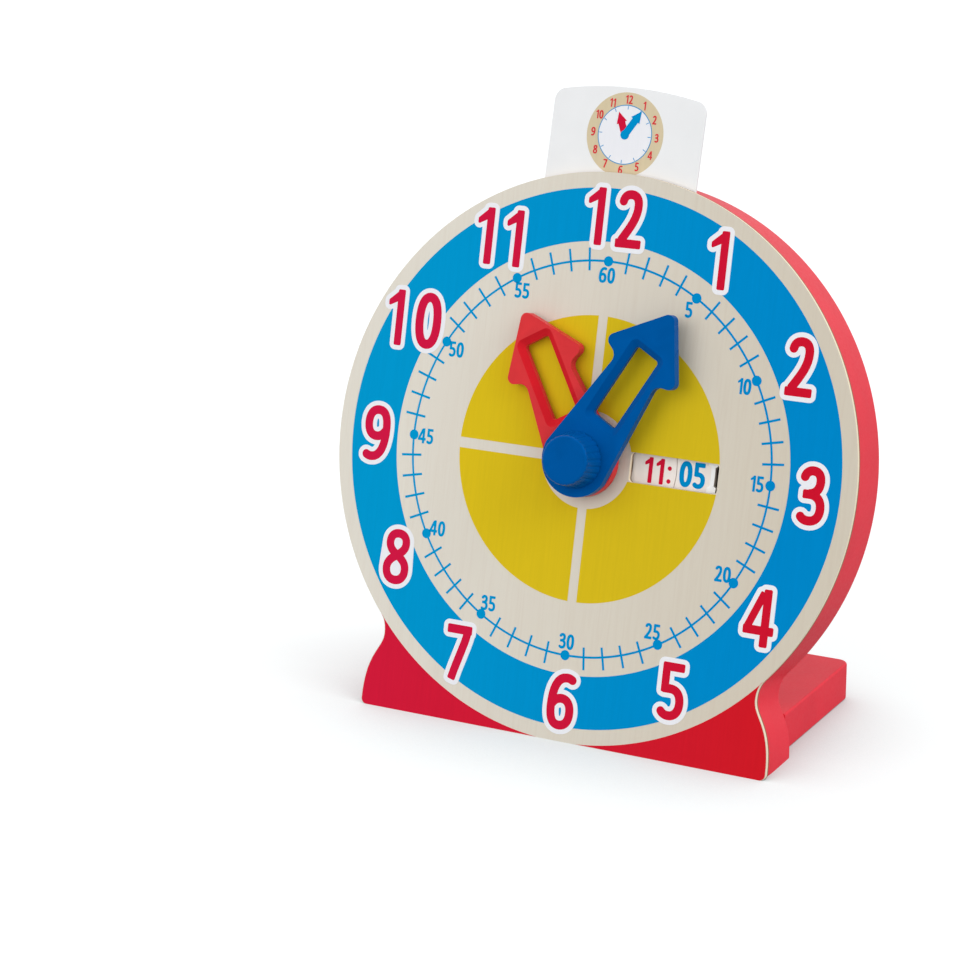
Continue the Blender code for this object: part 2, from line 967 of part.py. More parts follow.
def build_click_spring():
    """A strip spring, held in a slotted post, whose round nose rests in a notch."""
    low = -disc_depth - disc_thickness / 2 - spring_width / 2
    high = low + spring_width
    half = spring_thickness / 2
    nose_top = minute_disc_radius - click_notch_depth + fit_gap
    nose_centre = (0, -nose_top - spring_nose_radius)
    nose = arc(spring_nose_radius, -math.pi / 4, 5 * math.pi / 4, tiny_steps, nose_centre)
    top = nose[0][1]
    strip_end = spring_reach + post_radius / 2
    bottom = top - spring_thickness
    outline = nose + [(nose[-1][0], bottom), (strip_end, bottom), (strip_end, top)]
    prism("click_spring", [outline], low, high, steel, face)
    post = prism(
        "spring_post",
        [circle(post_radius, small_steps)],
        -board_thickness - fit_gap - post_height,
        -board_thickness - fit_gap,
        beech,
        face,
        (spring_reach, top - half, 0),
    )
    left = spring_reach - post_radius - cut_overrun
    right = strip_end + fit_gap
    slot = prism(
        "post_slot",
        [
            [
                (left, bottom - fit_gap),
                (right, bottom - fit_gap),
                (right, top + fit_gap),
                (left, top + fit_gap),
            ]
        ],
        -board_thickness - post_height - cut_overrun,
        high + fit_gap,
        None,
        face,
    )
    cut(post, slot)


def build_knob():
    """A tapered knob with a flat front, a chamfer and grip grooves along its side."""
    base = minute_hand_far + fit_gap
    height = knob_front - base
    taper = math.atan((knob_base_radius - knob_front_radius) / height)
    reach = knob_base_radius + knob_groove_radius - knob_groove_depth
    knob = turned(
        "minute_knob",
        [
            (0, knob_front),
            (knob_front_radius - knob_chamfer, knob_front),
            (knob_front_radius, knob_front - knob_chamfer),
            (knob_base_radius, base),
            (shaft_radius + fit_gap, base),
            (shaft_radius + fit_gap, knob_bore_end),
            (0, knob_bore_end),
        ],
        disc_steps,
        blue_plastic,
        minute_axis,
    )
    for index in range(knob_groove_count):
        angle = math.pi * (2 * index + 1) / knob_groove_count
        groove = prism(
            "knob_groove_%d" % (index + 1),
            [circle(knob_groove_radius, groove_sides)],
            -cut_overrun,
            height + cut_overrun,
            None,
            minute_axis,
            (reach * math.cos(angle), reach * math.sin(angle), base),
        )
        groove.rotation_euler = (0, -taper, angle)
        cut(knob, groove)


clear_scene()
face = new_empty("face_frame", None)
face.matrix_world = stand
minute_axis = new_empty("minute_axis", face)
hour_axis = new_empty("hour_axis", face)
display_axis = new_empty("hour_display_axis", face)
lay_axis = new_empty("lay_axis", face, lay_centre)
card_guide = new_empty("card_guide", face)
floor = floor_cutter()

build_board()
drum_body = build_body()
back = build_panel()
build_back_screws(drum_body, back)
build_block(drum_body)
cut(drum_body, floor)
build_card()
build_arbors()
build_motion_works()
build_hour_display()
build_minute_disc()
build_minute_cup()
build_click_spring()
build_hand(
    "hour_hand",
    hour_hand_tip,
    hour_hand_near,
    hour_hand_far,
    hour_hand_angle,
    tube_outer + fit_gap,
    red_plastic,
    hour_axis,
)
build_hand(
    "minute_hand",
    minute_hand_tip,
    minute_hand_near,
    minute_hand_far,
    minute_hand_angle,
    shaft_radius + fit_gap,
    blue_plastic,
    minute_axis,
)
build_knob()
print("geared teaching clock built")
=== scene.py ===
import json
import math

import bmesh
import bpy
from mathutils import Matrix, Vector
from mathutils.geometry import delaunay_2d_cdt, interpolate_bezier


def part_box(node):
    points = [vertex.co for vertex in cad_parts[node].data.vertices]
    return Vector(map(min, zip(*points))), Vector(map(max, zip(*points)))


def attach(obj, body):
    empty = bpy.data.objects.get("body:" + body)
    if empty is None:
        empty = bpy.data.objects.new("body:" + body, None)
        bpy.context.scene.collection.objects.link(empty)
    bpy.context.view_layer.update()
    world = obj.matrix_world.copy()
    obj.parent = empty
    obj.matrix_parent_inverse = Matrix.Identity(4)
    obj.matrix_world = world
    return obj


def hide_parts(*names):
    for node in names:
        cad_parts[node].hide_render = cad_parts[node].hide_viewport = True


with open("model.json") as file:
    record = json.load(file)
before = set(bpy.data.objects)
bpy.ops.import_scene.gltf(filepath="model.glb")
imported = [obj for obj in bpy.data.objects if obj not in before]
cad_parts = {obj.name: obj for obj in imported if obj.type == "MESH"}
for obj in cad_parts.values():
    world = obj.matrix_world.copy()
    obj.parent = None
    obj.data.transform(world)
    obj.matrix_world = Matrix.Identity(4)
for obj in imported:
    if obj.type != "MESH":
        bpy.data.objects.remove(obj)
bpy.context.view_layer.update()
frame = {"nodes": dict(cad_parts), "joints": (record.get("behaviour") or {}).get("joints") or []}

for spare in ("Cube", "Light", "Camera"):
    if spare in bpy.data.objects:
        bpy.data.objects.remove(bpy.data.objects[spare], do_unlink=True)

degree = math.pi / 180
mm = 0.001
cutPast = 5  # how far a cutter stands past what it cuts

# The clock is shaped flat, in millimetres on its face: x right, y to twelve, z out of the face.
knobJoint = next(joint for joint in frame["joints"] if joint["name"] == "minute_turn")
outward = -Vector(knobJoint["axis"]).normalized()
faceRight = Vector((1, 0, 0))
faceUp = outward.cross(faceRight)
faceCentre = Vector(knobJoint["pos_m"])
faceTurn = Matrix((faceRight, faceUp, outward)).transposed()
onFace = Matrix.Translation(faceCentre) @ faceTurn.to_4x4() @ Matrix.Scale(mm, 4)
onTable = Matrix.Scale(mm, 4)
tableOnFace = onFace.inverted()


def srgb(red, green, blue):
    shares = (red / 255, green / 255, blue / 255)
    return tuple(
        share / 12.92 if share < 0.04045 else ((share + 0.055) / 1.055) ** 2.4
        for share in shares
    ) + (1,)


def arcPoints(radius, start, end, steps, centre=(0, 0)):
    points = []
    for step in range(steps + 1):
        angle = start + (end - start) * step / steps
        points.append((centre[0] + radius * math.cos(angle), centre[1] + radius * math.sin(angle)))
    return points


def circlePoints(radius, steps, centre=(0, 0)):
    return arcPoints(radius, 0, 2 * math.pi, steps, centre)[:-1]


def curvePoints(start, first, second, end, steps):
    knots = [Vector((x, y, 0)) for x, y in (start, first, second, end)]
    return [(point.x, point.y) for point in interpolate_bezier(*knots, steps + 1)]


def roundedPoints(corners, steps=8):
    # each corner is x, y and the radius that rounds it
    points = []
    for index, (x, y, radius) in enumerate(corners):
        here = Vector((x, y))
        if not radius:
            points.append((x, y))
            continue
        before = (Vector(corners[index - 1][:2]) - here).normalized()
        after = (Vector(corners[(index + 1) % len(corners)][:2]) - here).normalized()
        half = before.angle(after) / 2
        centre = here + (before + after).normalized() * radius / math.sin(half)
        start = here + before * radius / math.tan(half) - centre
        sweep = start.angle_signed(here + after * radius / math.tan(half) - centre)
        for step in range(steps + 1):
            point = centre + Matrix.Rotation(-sweep * step / steps, 2) @ start
            points.append((point.x, point.y))
    return points


def boxCorners(left, right, bottom, top, radius=0):
    return [(left, bottom, radius), (right, bottom, radius), (right, top, radius), (left, top, radius)]


def boxLoop(left, right, bottom, top):
    return [corner[:2] for corner in boxCorners(left, right, bottom, top)]


def isSloped(face):
    # neither a flat top nor an upright wall
    return 0.2 < face.normal.z < 0.98


def asObject(shape, name="helper"):
    mesh = bpy.data.meshes.new(name)
    shape.to_mesh(mesh)
    shape.free()
    holder = bpy.data.objects.new(name, mesh)
    bpy.context.scene.collection.objects.link(holder)
    return holder


def asShape(holder):
    graph = bpy.context.evaluated_depsgraph_get()
    mesh = bpy.data.meshes.new_from_object(holder.evaluated_get(graph))
    shape = bmesh.new()
    shape.from_mesh(mesh)
    bpy.data.objects.remove(holder, do_unlink=True)
    bpy.data.meshes.remove(mesh)
    return shape


def flatShape(loops, low, high):
    # fills nested outlines and gives them a thickness
    curve = bpy.data.curves.new("outline", "CURVE")
    curve.dimensions = "2D"
    curve.fill_mode = "BOTH"
    curve.extrude = (high - low) / 2
    for loop in loops:
        spline = curve.splines.new("POLY")
        spline.points.add(len(loop) - 1)
        for point, (x, y) in zip(spline.points, loop):
            point.co = (x, y, 0, 1)
        spline.use_cyclic_u = True
    holder = bpy.data.objects.new("outline", curve)
    bpy.context.scene.collection.objects.link(holder)
    shape = asShape(holder)
    bmesh.ops.remove_doubles(shape, verts=shape.verts, dist=0.005)
    bmesh.ops.dissolve_limit(
        shape, angle_limit=0.5 * degree, verts=shape.verts, edges=shape.edges
    )
    bmesh.ops.translate(shape, verts=shape.verts, vec=(0, 0, (high + low) / 2))
    bmesh.ops.recalc_face_normals(shape, faces=shape.faces)
    return shape


def turnedShape(profile, steps):
    # spins an open or closed profile of radius and height about the z axis
    shape = bmesh.new()
    corners = [shape.verts.new((radius, 0, height)) for radius, height in profile]
    edges = [shape.edges.new(pair) for pair in zip(corners, corners[1:])]
    if profile[0][0] > 0:
        edges.append(shape.edges.new((corners[-1], corners[0])))
    bmesh.ops.spin(
        shape,
        geom=corners + edges,
        cent=(0, 0, 0),
        axis=(0, 0, 1),
        angle=2 * math.pi,
        steps=steps,
        use_merge=True,
    )
    bmesh.ops.remove_doubles(shape, verts=shape.verts, dist=0.005)
    bmesh.ops.recalc_face_normals(shape, faces=shape.faces)
    return shape


def softEdges(shape, width, segments=3, limit=40 * degree, chosen=None):
    edges = [
        edge
        for edge in shape.edges
        if len(edge.link_faces) == 2
        and edge.calc_face_angle() > limit
        and (chosen is None or chosen(edge))
    ]
    bmesh.ops.bevel(
        shape,
        geom=edges,
        offset=width,
        segments=segments,
        profile=0.5,
        affect="EDGES",
        material=-1,
        clamp_overlap=True,
    )


def carve(shape, *cutters):
    target = asObject(shape)
    tools = [asObject(cutter, "cutter") for cutter in cutters]
    for tool in tools:
        boolean = target.modifiers.new("carve", "BOOLEAN")
        boolean.object = tool
        boolean.solver = "EXACT"
    result = asShape(target)
    for tool in tools:
        bpy.data.objects.remove(tool, do_unlink=True)
    return result


def standOnTable(shape):
    # cuts off what would stand below the table
    floorPoint = tableOnFace @ Vector((0, 0, 0))
    floorUp = (tableOnFace.to_3x3() @ Vector((0, 0, 1))).normalized()
    cut = bmesh.ops.bisect_plane(
        shape,
        geom=shape.verts[:] + shape.edges[:] + shape.faces[:],
        plane_co=floorPoint,
        plane_no=-floorUp,
        clear_outer=True,
    )
    rim = [item for item in cut["geom_cut"] if isinstance(item, bmesh.types.BMEdge)]
    bmesh.ops.holes_fill(shape, edges=rim, sides=0)


def finishPiece(name, shape, body, finishes, nodes=(), place=onFace, smoothLimit=50 * degree):
    bmesh.ops.transform(shape, matrix=place, verts=shape.verts)
    bmesh.ops.recalc_face_normals(shape, faces=shape.faces)
    for face in shape.faces:
        face.smooth = True
    for edge in shape.edges:
        edge.smooth = len(edge.link_faces) == 2 and edge.calc_face_angle() < smoothLimit
    mesh = bpy.data.meshes.new(name)
    shape.to_mesh(mesh)
    shape.free()
    for finish in finishes:
        mesh.materials.append(finish)
    piece = bpy.data.objects.new(name, mesh)
    bpy.context.scene.collection.objects.link(piece)
    evenLight = piece.modifiers.new("evenLight", "WEIGHTED_NORMAL")
    evenLight.keep_sharp = True
    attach(piece, body)
    if nodes:
        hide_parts(*nodes)
    return piece


plainWhite = (1, 1, 1, 1)


class Finish:
    # a Principled material, with short words for adding and joining nodes

    def __init__(self, name, roughness, sheen=0.25, metallic=0.0):
        self.material = bpy.data.materials.new(name)
        self.material.use_nodes = True
        self.shader = self.material.node_tree.nodes["Principled BSDF"]
        self.shader.inputs["Roughness"].default_value = roughness
        self.shader.inputs["Specular IOR Level"].default_value = sheen
        self.shader.inputs["Metallic"].default_value = metallic

    def add(self, kind, values=None, **settings):
        node = self.material.node_tree.nodes.new("ShaderNode" + kind)
        for key, value in settings.items():
            setattr(node, key, value)
        for key, value in (values or {}).items():
            node.inputs[key].default_value = value
        return node

    def join(self, source, target):
        self.material.node_tree.links.new(source, target)

    def faceMap(self, stretch=(1, 1, 1)):
        # face millimetres, stretched: a grain is long where its stretch is large
        place = self.add("TexCoord")
        stand = self.add("Mapping", vector_type="TEXTURE")
        stand.inputs["Location"].default_value = faceCentre
        stand.inputs["Rotation"].default_value = faceTurn.to_euler()
        stand.inputs["Scale"].default_value = (mm, mm, mm)
        self.join(place.outputs["Object"], stand.inputs["Vector"])
        grain = self.add("Mapping", vector_type="TEXTURE")
        grain.inputs["Scale"].default_value = stretch
        self.join(stand.outputs["Vector"], grain.inputs["Vector"])
        return grain.outputs["Vector"]

    def noise(self, stretch, detail=4.0, roughness=0.55, distortion=0.0):
        texture = self.add(
            "TexNoise",
            {"Scale": 1.0, "Detail": detail, "Roughness": roughness, "Distortion": distortion},
        )
        self.join(self.faceMap(stretch), texture.inputs["Vector"])
        return texture.outputs["Fac"]

    def ramp(self, source, *stops):
        node = self.add("ValToRGB")
        elements = node.color_ramp.elements
        while len(elements) < len(stops):
            elements.new(0.5)
        for element, (position, tone) in zip(elements, stops):
            element.position = position
            element.color = tone
        self.join(source, node.inputs["Fac"])
        return node.outputs["Color"]

    def grey(self, source, low, high, start=0.3, end=0.7):
        node = self.add(
            "MapRange", {"From Min": start, "From Max": end, "To Min": low, "To Max": high}
        )
        self.join(source, node.inputs["Value"])
        return node.outputs["Result"]

    def mix(self, factor, first, second, blend="MIX"):
        node = self.add("Mix", data_type="RGBA", blend_type=blend)
        sockets = (node.inputs[0], node.inputs[6], node.inputs[7])
        for socket, value in zip(sockets, (factor, first, second)):
            if isinstance(value, bpy.types.NodeSocket):
                self.join(value, socket)
            else:
                socket.default_value = value
        return node.outputs[2]

    def rightShare(self):
        # nought at the face's left side and one at its right: how far the painted sheen on the left has faded
        spread = self.add("SeparateXYZ")
        self.join(self.faceMap(), spread.inputs["Vector"])
        return self.grey(spread.outputs["X"], 0.0, 1.0, -110, 110)

    def colour(self, source):
        self.join(source, self.shader.inputs["Base Color"])

    def rough(self, source):
        self.join(source, self.shader.inputs["Roughness"])

    def bump(self, source, depth, strength=1.0):
        node = self.add("Bump", {"Distance": depth * mm, "Strength": strength})
        self.join(source, node.inputs["Height"])
        self.join(node.outputs["Normal"], self.shader.inputs["Normal"])


def shaded(tone, share):
    return tuple(min(1, part * share) for part in tone[:3]) + (1,)


def birchFinish(name, pale, dark, grainLength=(2.4, 60, 2.4), sheenFadeTint=plainWhite):
    # fine long fibres and slow clouds; the sheet's right side is painted darker and warmer, so a painted
    # sheen lies on its left side
    wood = Finish(name, 0.45)
    fibres = wood.noise(grainLength, 5, 0.6, 1.2)
    clouds = wood.noise((34, 90, 34), 3)
    streaks = wood.ramp(fibres, (0.3, dark), (0.55, pale))
    sheet = wood.mix(wood.grey(clouds, 0.0, 0.5), streaks, dark)
    # painted sheen: the colour fades from the lighter left side to a darker, warmer right side
    sheenFadeMix = wood.mix(wood.rightShare(), plainWhite, sheenFadeTint)
    wood.colour(wood.mix(1.0, sheet, sheenFadeMix, "MULTIPLY"))
    wood.rough(wood.grey(fibres, 0.4, 0.5))
    wood.bump(fibres, 0.03, 0.3)
    return wood.material


def edgeFinish(name, pale, dark, boardDepth):
    # end grain of the board: pale at the front, and painted dark over the back third as the shade in the gap
    # to the drum behind
    edge = Finish(name, 0.6)
    fibres = edge.noise((0.5, 0.5, 0.18), 5, 0.65)
    pores = edge.noise((0.22, 0.22, 0.9), 4, 0.6)
    depth = edge.add("SeparateXYZ")
    edge.join(edge.faceMap(), depth.inputs["Vector"])
    share = edge.grey(depth.outputs["Z"], 0.0, 1.0, -boardDepth, 0.0)
    # painted shade: the back of the edge is dark, standing in for the shade of the gap to the drum
    gapShadeShare = edge.ramp(
        share, (0.0, plainWhite), (0.32, plainWhite), (0.38, (0, 0, 0, 1)),
    )
    outer = edge.ramp(fibres, (0.3, shaded(pale, 0.94)), (0.7, pale))
    inner = edge.ramp(pores, (0.35, shaded(dark, 0.8)), (0.65, dark))
    edge.colour(edge.mix(gapShadeShare, outer, inner))
    edge.bump(fibres, 0.06, 0.6)
    return edge.material


def inkFinish(name, tone, wear=0.05, roughness=0.36, sheenFadeTone=None):
    # printed ink: the wood's fibres show through faintly, and the film is a little uneven; where a second
    # tone is given, the ink carries a painted sheen, lighter at the left and fading to that tone at the right
    ink = Finish(name, roughness, 0.07)
    ink.shader.inputs["Specular Tint"].default_value = tone
    fibres = ink.noise((1.6, 46, 1.6), 6, 0.62, 0.6)
    film = ink.noise((9, 9, 9), 3)
    # painted sheen: the ink's own tone at the left fades to the darker second tone at the right
    across = ink.mix(ink.rightShare(), tone, sheenFadeTone or tone)
    wornWhite = shaded(plainWhite, 1 - wear)
    worn = ink.ramp(fibres, (0.3, wornWhite), (0.62, plainWhite))
    thin = ink.mix(ink.grey(film, 0.0, 0.3), worn, wornWhite)
    ink.colour(ink.mix(1.0, across, thin, "MULTIPLY"))
    ink.rough(ink.grey(film, roughness - 0.05, roughness + 0.07))
    ink.bump(fibres, 0.03, 0.4)
    return ink.material


def paintFinish(name, tone, roughness=0.36):
    # sprayed satin paint over wood: soft orange peel, and fibres raised under it
    paint = Finish(name, roughness, 0.14)
    peel = paint.noise((1.3, 1.3, 1.3), 2, 0.5)
    fibres = paint.noise((1.2, 30, 1.2), 5, 0.6, 0.5)
    clouds = paint.noise((30, 30, 30), 3)
    paint.colour(paint.ramp(clouds, (0.3, shaded(tone, 0.95)), (0.7, shaded(tone, 1.04))))
    paint.rough(paint.grey(peel, roughness - 0.04, roughness + 0.08))
    paint.bump(paint.mix(0.4, peel, fibres), 0.05, 0.5)
    return paint.material


def plasticFinish(name, tone, roughness=0.28, sheen=0.06, grain=0.35, depth=0.01):
    # moulded plastic: a fine even grain, and faint flow shades from the mould
    plastic = Finish(name, roughness, sheen)
    plastic.shader.inputs["Specular Tint"].default_value = tone
    skin = plastic.noise((grain, grain, grain), 2, 0.5)
    flow = plastic.noise((14, 14, 14), 3, 0.5, 0.8)
    plastic.colour(plastic.ramp(flow, (0.3, shaded(tone, 0.94)), (0.7, shaded(tone, 1.05))))
    plastic.rough(plastic.grey(flow, roughness - 0.04, roughness + 0.06))
    plastic.bump(skin, depth, 0.5)
    return plastic.material


def metalFinish(name, tone, roughness, stretch):
    metal = Finish(name, roughness, 0.5, 1.0)
    scratches = metal.noise(stretch, 5, 0.7)
    metal.colour(metal.ramp(scratches, (0.3, shaded(tone, 0.85)), (0.7, tone)))
    metal.rough(metal.grey(scratches, roughness - 0.08, roughness + 0.12))
    metal.bump(scratches, 0.01, 0.4)
    return metal.material


def boardFinish(name, pale, dark):
    # pressed hardboard: short dark fibres in every direction
    board = Finish(name, 0.72)
    fibres = board.noise((0.6, 2.4, 0.6), 6, 0.7, 1.4)
    crossed = board.noise((2.4, 0.6, 0.6), 6, 0.7, 1.4)
    blend = board.mix(0.5, fibres, crossed)
    board.colour(board.ramp(blend, (0.36, dark), (0.56, pale), (0.75, shaded(pale, 1.15))))
    board.bump(blend, 0.08, 0.6)
    return board.material


def cardFinish(name, tone):
    card = Finish(name, 0.42)
    pulp = card.noise((0.8, 0.8, 0.8), 4, 0.6)
    clouds = card.noise((18, 18, 18), 2)
    card.colour(card.ramp(clouds, (0.3, shaded(tone, 0.975)), (0.7, tone)))
    card.rough(card.grey(pulp, 0.38, 0.48))
    card.bump(pulp, 0.01, 0.4)
    return card.material


finishTones = {
    "birch": srgb(230, 224, 212),
    "birchDark": srgb(226, 218, 205),
    # the birch's right side is multiplied by this tone, darker than the painted sheen on its left
    "birchSheenFade": (0.86, 0.82, 0.76, 1),
    "plyPale": srgb(255, 240, 212),
    # the dark edge tone is painted shade, for the gap between the board and the drum
    "plyGapShade": srgb(150, 116, 84),
    "blueInk": srgb(0, 155, 212),
    # each ink's second tone is its colour at the right, where the painted sheen that lightens its left side
    # has faded
    "blueSheenFade": srgb(0, 139, 207),
    "yellowInk": srgb(229, 197, 30),
    "yellowSheenFade": srgb(216, 187, 33),
    "redInk": srgb(215, 25, 70),
    "redSheenFade": srgb(213, 22, 48),
    "cardRed": srgb(222, 62, 70),
    "whiteInk": srgb(243, 243, 248),
    "footInk": srgb(217, 28, 60),
    "footSheenFade": srgb(216, 28, 40),
    "redPaint": srgb(243, 55, 72),
    "bluePlastic": srgb(0, 86, 160),
    # the slope tones are darker copies of the hands' plastics: painted shade on the slopes beside the slots
    "blueSlopeShade": srgb(0, 82, 155),
    "redPlastic": srgb(222, 58, 62),
    "redSlopeShade": srgb(216, 34, 44),
    "whitePlastic": srgb(246, 237, 230),
    # the lip tone is a whiter copy of the disc plastic: a painted highlight on the lip
    "lipLitPlastic": srgb(255, 255, 255),
    "gearPlastic": srgb(226, 222, 205),
    "card": srgb(243, 243, 244),
    "tanInk": srgb(221, 204, 170),
    "hardboard": srgb(142, 104, 72),
    "hardboardDark": srgb(104, 70, 45),
    "beech": srgb(214, 178, 132),
    "beechDark": srgb(188, 146, 100),
    "steel": srgb(196, 196, 198),
    "brass": srgb(214, 178, 98),
}
birchFace = birchFinish(
    "birchFace", finishTones["birch"], finishTones["birchDark"], sheenFadeTint=finishTones["birchSheenFade"]
)
plyEdge = edgeFinish("plyEdge", finishTones["plyPale"], finishTones["plyGapShade"], 3.0)
blueInk = inkFinish("blueInk", finishTones["blueInk"], sheenFadeTone=finishTones["blueSheenFade"])
yellowInk = inkFinish("yellowInk", finishTones["yellowInk"], sheenFadeTone=finishTones["yellowSheenFade"])
redInk = inkFinish("redInk", finishTones["redInk"], sheenFadeTone=finishTones["redSheenFade"])
cardRed = inkFinish("cardRed", finishTones["cardRed"])
whiteInk = inkFinish("whiteInk", finishTones["whiteInk"], 0.02)
footInk = inkFinish("footInk", finishTones["footInk"], sheenFadeTone=finishTones["footSheenFade"])
tanInk = inkFinish("tanInk", finishTones["tanInk"])
redPaint = paintFinish("redPaint", finishTones["redPaint"])
bluePlastic = plasticFinish("bluePlastic", finishTones["bluePlastic"])
blueSlopeShade = plasticFinish("blueSlopeShade", finishTones["blueSlopeShade"])
blueEdge = plasticFinish("blueEdge", finishTones["bluePlastic"], 0.2, 0.7)
redPlastic = plasticFinish("redPlastic", finishTones["redPlastic"])
redSlopeShade = plasticFinish("redSlopeShade", finishTones["redSlopeShade"])
redEdge = plasticFinish("redEdge", finishTones["redPlastic"], 0.2, 0.9)
whitePlastic = plasticFinish("whitePlastic", finishTones["whitePlastic"], 0.4, 0.3)
lipLitPlastic = plasticFinish("lipLitPlastic", finishTones["lipLitPlastic"], 0.4, 0.3)
gearPlastic = plasticFinish("gearPlastic", finishTones["gearPlastic"], 0.42, 0.4)
cardStock = cardFinish("cardStock", finishTones["card"])
hardboard = boardFinish("hardboard", finishTones["hardboard"], finishTones["hardboardDark"])
beech = birchFinish("beech", finishTones["beech"], finishTones["beechDark"], (0.8, 0.8, 18))
steel = metalFinish("steel", finishTones["steel"], 0.28, (0.4, 0.4, 3))
brass = metalFinish("brass", finishTones["brass"], 0.26, (4, 4, 0.3))

carriedOver = {
    "back_panel": hardboard,
    "base_dowel_left": beech,
    "base_dowel_right": beech,
    "hub_bush": brass,
    "lay_stud": steel,
    "spring_post": beech,
    "click_spring": steel,
    "minute_shaft": steel,
    "cannon_pinion": gearPlastic,
    "minute_cup": whitePlastic,
    "shaft_washer": steel,
    "shaft_screw": steel,
    "hour_tube": brass,
    "hour_wheel": gearPlastic,
    "front_pinion": gearPlastic,
    "lay_wheel": gearPlastic,
    "rear_pinion": gearPlastic,
    "hour_drum": whitePlastic,
    "drum_gear": gearPlastic,
}
for node, material in carriedOver.items():
    frame["nodes"][node].data.materials.clear()
    frame["nodes"][node].data.materials.append(material)
print("finishes mixed, and given to", len(carriedOver), "inner parts")


case = {
    "radius": 144.4,
    "footBottom": 144.1,
    "waistHalf": 105.3,
    "footHalf": 115.0,
    "waistHeight": 39.0,
    "waistBulge": 9.0,
    "footBulge": 25.0,
    "footCornerRound": 3.0,
    "shoulder": -41.3 * degree,
    "shoulderHandle": 3.6,
    "window": (24.2, 72.2, -8.2, 6.9),
    "windowRound": 2.0,
}


def caseOutline(inset, arcSteps=200, sideSteps=18):
    radius = case["radius"] - inset
    shoulder = (radius * math.cos(case["shoulder"]), radius * math.sin(case["shoulder"]))
    top = arcPoints(radius, case["shoulder"], math.pi - case["shoulder"], arcSteps)
    waist = (case["waistHalf"] - inset, -case["footBottom"] + case["waistHeight"])
    handle = (
        shoulder[0] + case["shoulderHandle"] * math.sin(case["shoulder"]),
        shoulder[1] - case["shoulderHandle"] * math.cos(case["shoulder"]),
    )
    corner = (case["footHalf"] - inset, -case["footBottom"] + case["footCornerRound"])
    side = curvePoints(shoulder, handle, (waist[0], waist[1] + case["shoulderHandle"]), waist, 6)[1:]
    side += curvePoints(
        waist, (waist[0], waist[1] - case["waistBulge"]),
        (corner[0], corner[1] + case["footBulge"]), corner, sideSteps,
    )[1:]
    centre = (corner[0] - case["footCornerRound"], corner[1])
    side += arcPoints(case["footCornerRound"], 0, -math.pi / 2, 6, centre)[1:]
    return top + [(-x, y) for x, y in side] + side[::-1]


board = {
    "thickness": 3.0, "edgeRound": 0.4, "bore": 7.2,
    "studHole": 1.6, "studAt": (-16, 0), "studDepth": 2.3,
}


def makeBoard():
    left, right, bottom, top = case["window"]
    window = roundedPoints(boxCorners(left, right, bottom, top, case["windowRound"]))
    loops = [caseOutline(0), window, circlePoints(board["bore"], 48)]
    shape = flatShape(loops, -board["thickness"], 0)
    softEdges(shape, board["edgeRound"])
    stud = flatShape(
        [circlePoints(board["studHole"], 24, board["studAt"])],
        -board["thickness"] - cutPast, -board["thickness"] + board["studDepth"],
    )
    shape = carve(shape, stud)
    standOnTable(shape)
    shape.normal_update()
    for face in shape.faces:
        face.material_index = 0 if abs(face.normal.z) > 0.9 else 1
    finishPiece("front_board_wood", shape, "case", [birchFace, plyEdge], ["front_board"])


drumBody = {
    "inset": 1.2, "front": -3.3, "back": -34.0, "edgeRound": 1.2,
    "cavity": 131.0, "cavityTop": 123.0, "cavityBottom": 120.0,
    "ledge": 6.0, "panelSeat": 3.3,
    "pocketHalf": 42.6, "pocketFloor": 129.8, "pocketTop": 150.0, "pocketBack": -5.1,
    "dowelAt": (85.0, -126.6), "dowelHole": 4.3, "dowelDepth": 17.3,
}
backScrews = {
    "angles": [angle * degree for angle in (0, 50, 130, 180, 230, 310)],
    "circle": 134.0, "headRadius": 2.6, "headDepth": 1.7, "shank": 1.2, "length": 12.0,
    "sink": 2.9, "pilot": 1.5, "pilotEnd": 11.1, "drillPoint": 12.3,
    "crossLength": 1.7, "crossWidth": 0.55, "crossDepth": 0.9,
}


def flattenedCircle(radius, low, high, steps=90):
    right = arcPoints(radius, math.asin(low / radius), math.asin(high / radius), steps)
    return right + [(-x, y) for x, y in right[::-1]]


def makeDrum():
    size = drumBody
    shape = flatShape([caseOutline(size["inset"])], size["back"], size["front"])
    softEdges(shape, size["edgeRound"])
    cavity = flatShape(
        [flattenedCircle(size["cavity"], -size["cavityBottom"], size["cavityTop"])],
        size["back"] - cutPast, size["front"] + cutPast,
    )
    seatRadius = size["cavity"] + size["ledge"]
    seat = flatShape(
        [flattenedCircle(
            seatRadius, -size["cavityBottom"] - size["ledge"], size["cavityTop"] + size["ledge"]
        )],
        size["back"] - cutPast, size["back"] + size["panelSeat"],
    )
    pocket = flatShape(
        [boxLoop(-size["pocketHalf"], size["pocketHalf"], size["pocketFloor"], size["pocketTop"])],
        size["pocketBack"], size["front"] + cutPast,
    )
    holes = []
    screw = backScrews
    for angle in screw["angles"]:
        hole = turnedShape([
            (0, -cutPast), (screw["sink"], -cutPast), (screw["sink"], 0),
            (screw["pilot"], screw["headDepth"]), (screw["pilot"], screw["pilotEnd"]),
            (0, screw["drillPoint"]),
        ], 24)
        place = (screw["circle"] * math.cos(angle), screw["circle"] * math.sin(angle), size["back"])
        bmesh.ops.translate(hole, verts=hole.verts, vec=place)
        holes.append(hole)
    for side in (-1, 1):
        x, y = size["dowelAt"]
        holes.append(flatShape(
            [circlePoints(size["dowelHole"], 32, (side * x, y))],
            size["back"] - size["dowelDepth"], size["back"] + size["dowelDepth"],
        ))
    shape = carve(shape, cavity, seat, pocket, *holes)
    standOnTable(shape)
    finishPiece("drum_body", shape, "case", [redPaint], ["body_rim"])


block = {"half": 108.6, "frontStart": -60.0, "height": 20.3, "cornerRound": 6.0, "edgeRound": 1.3, "gap": 0.3}


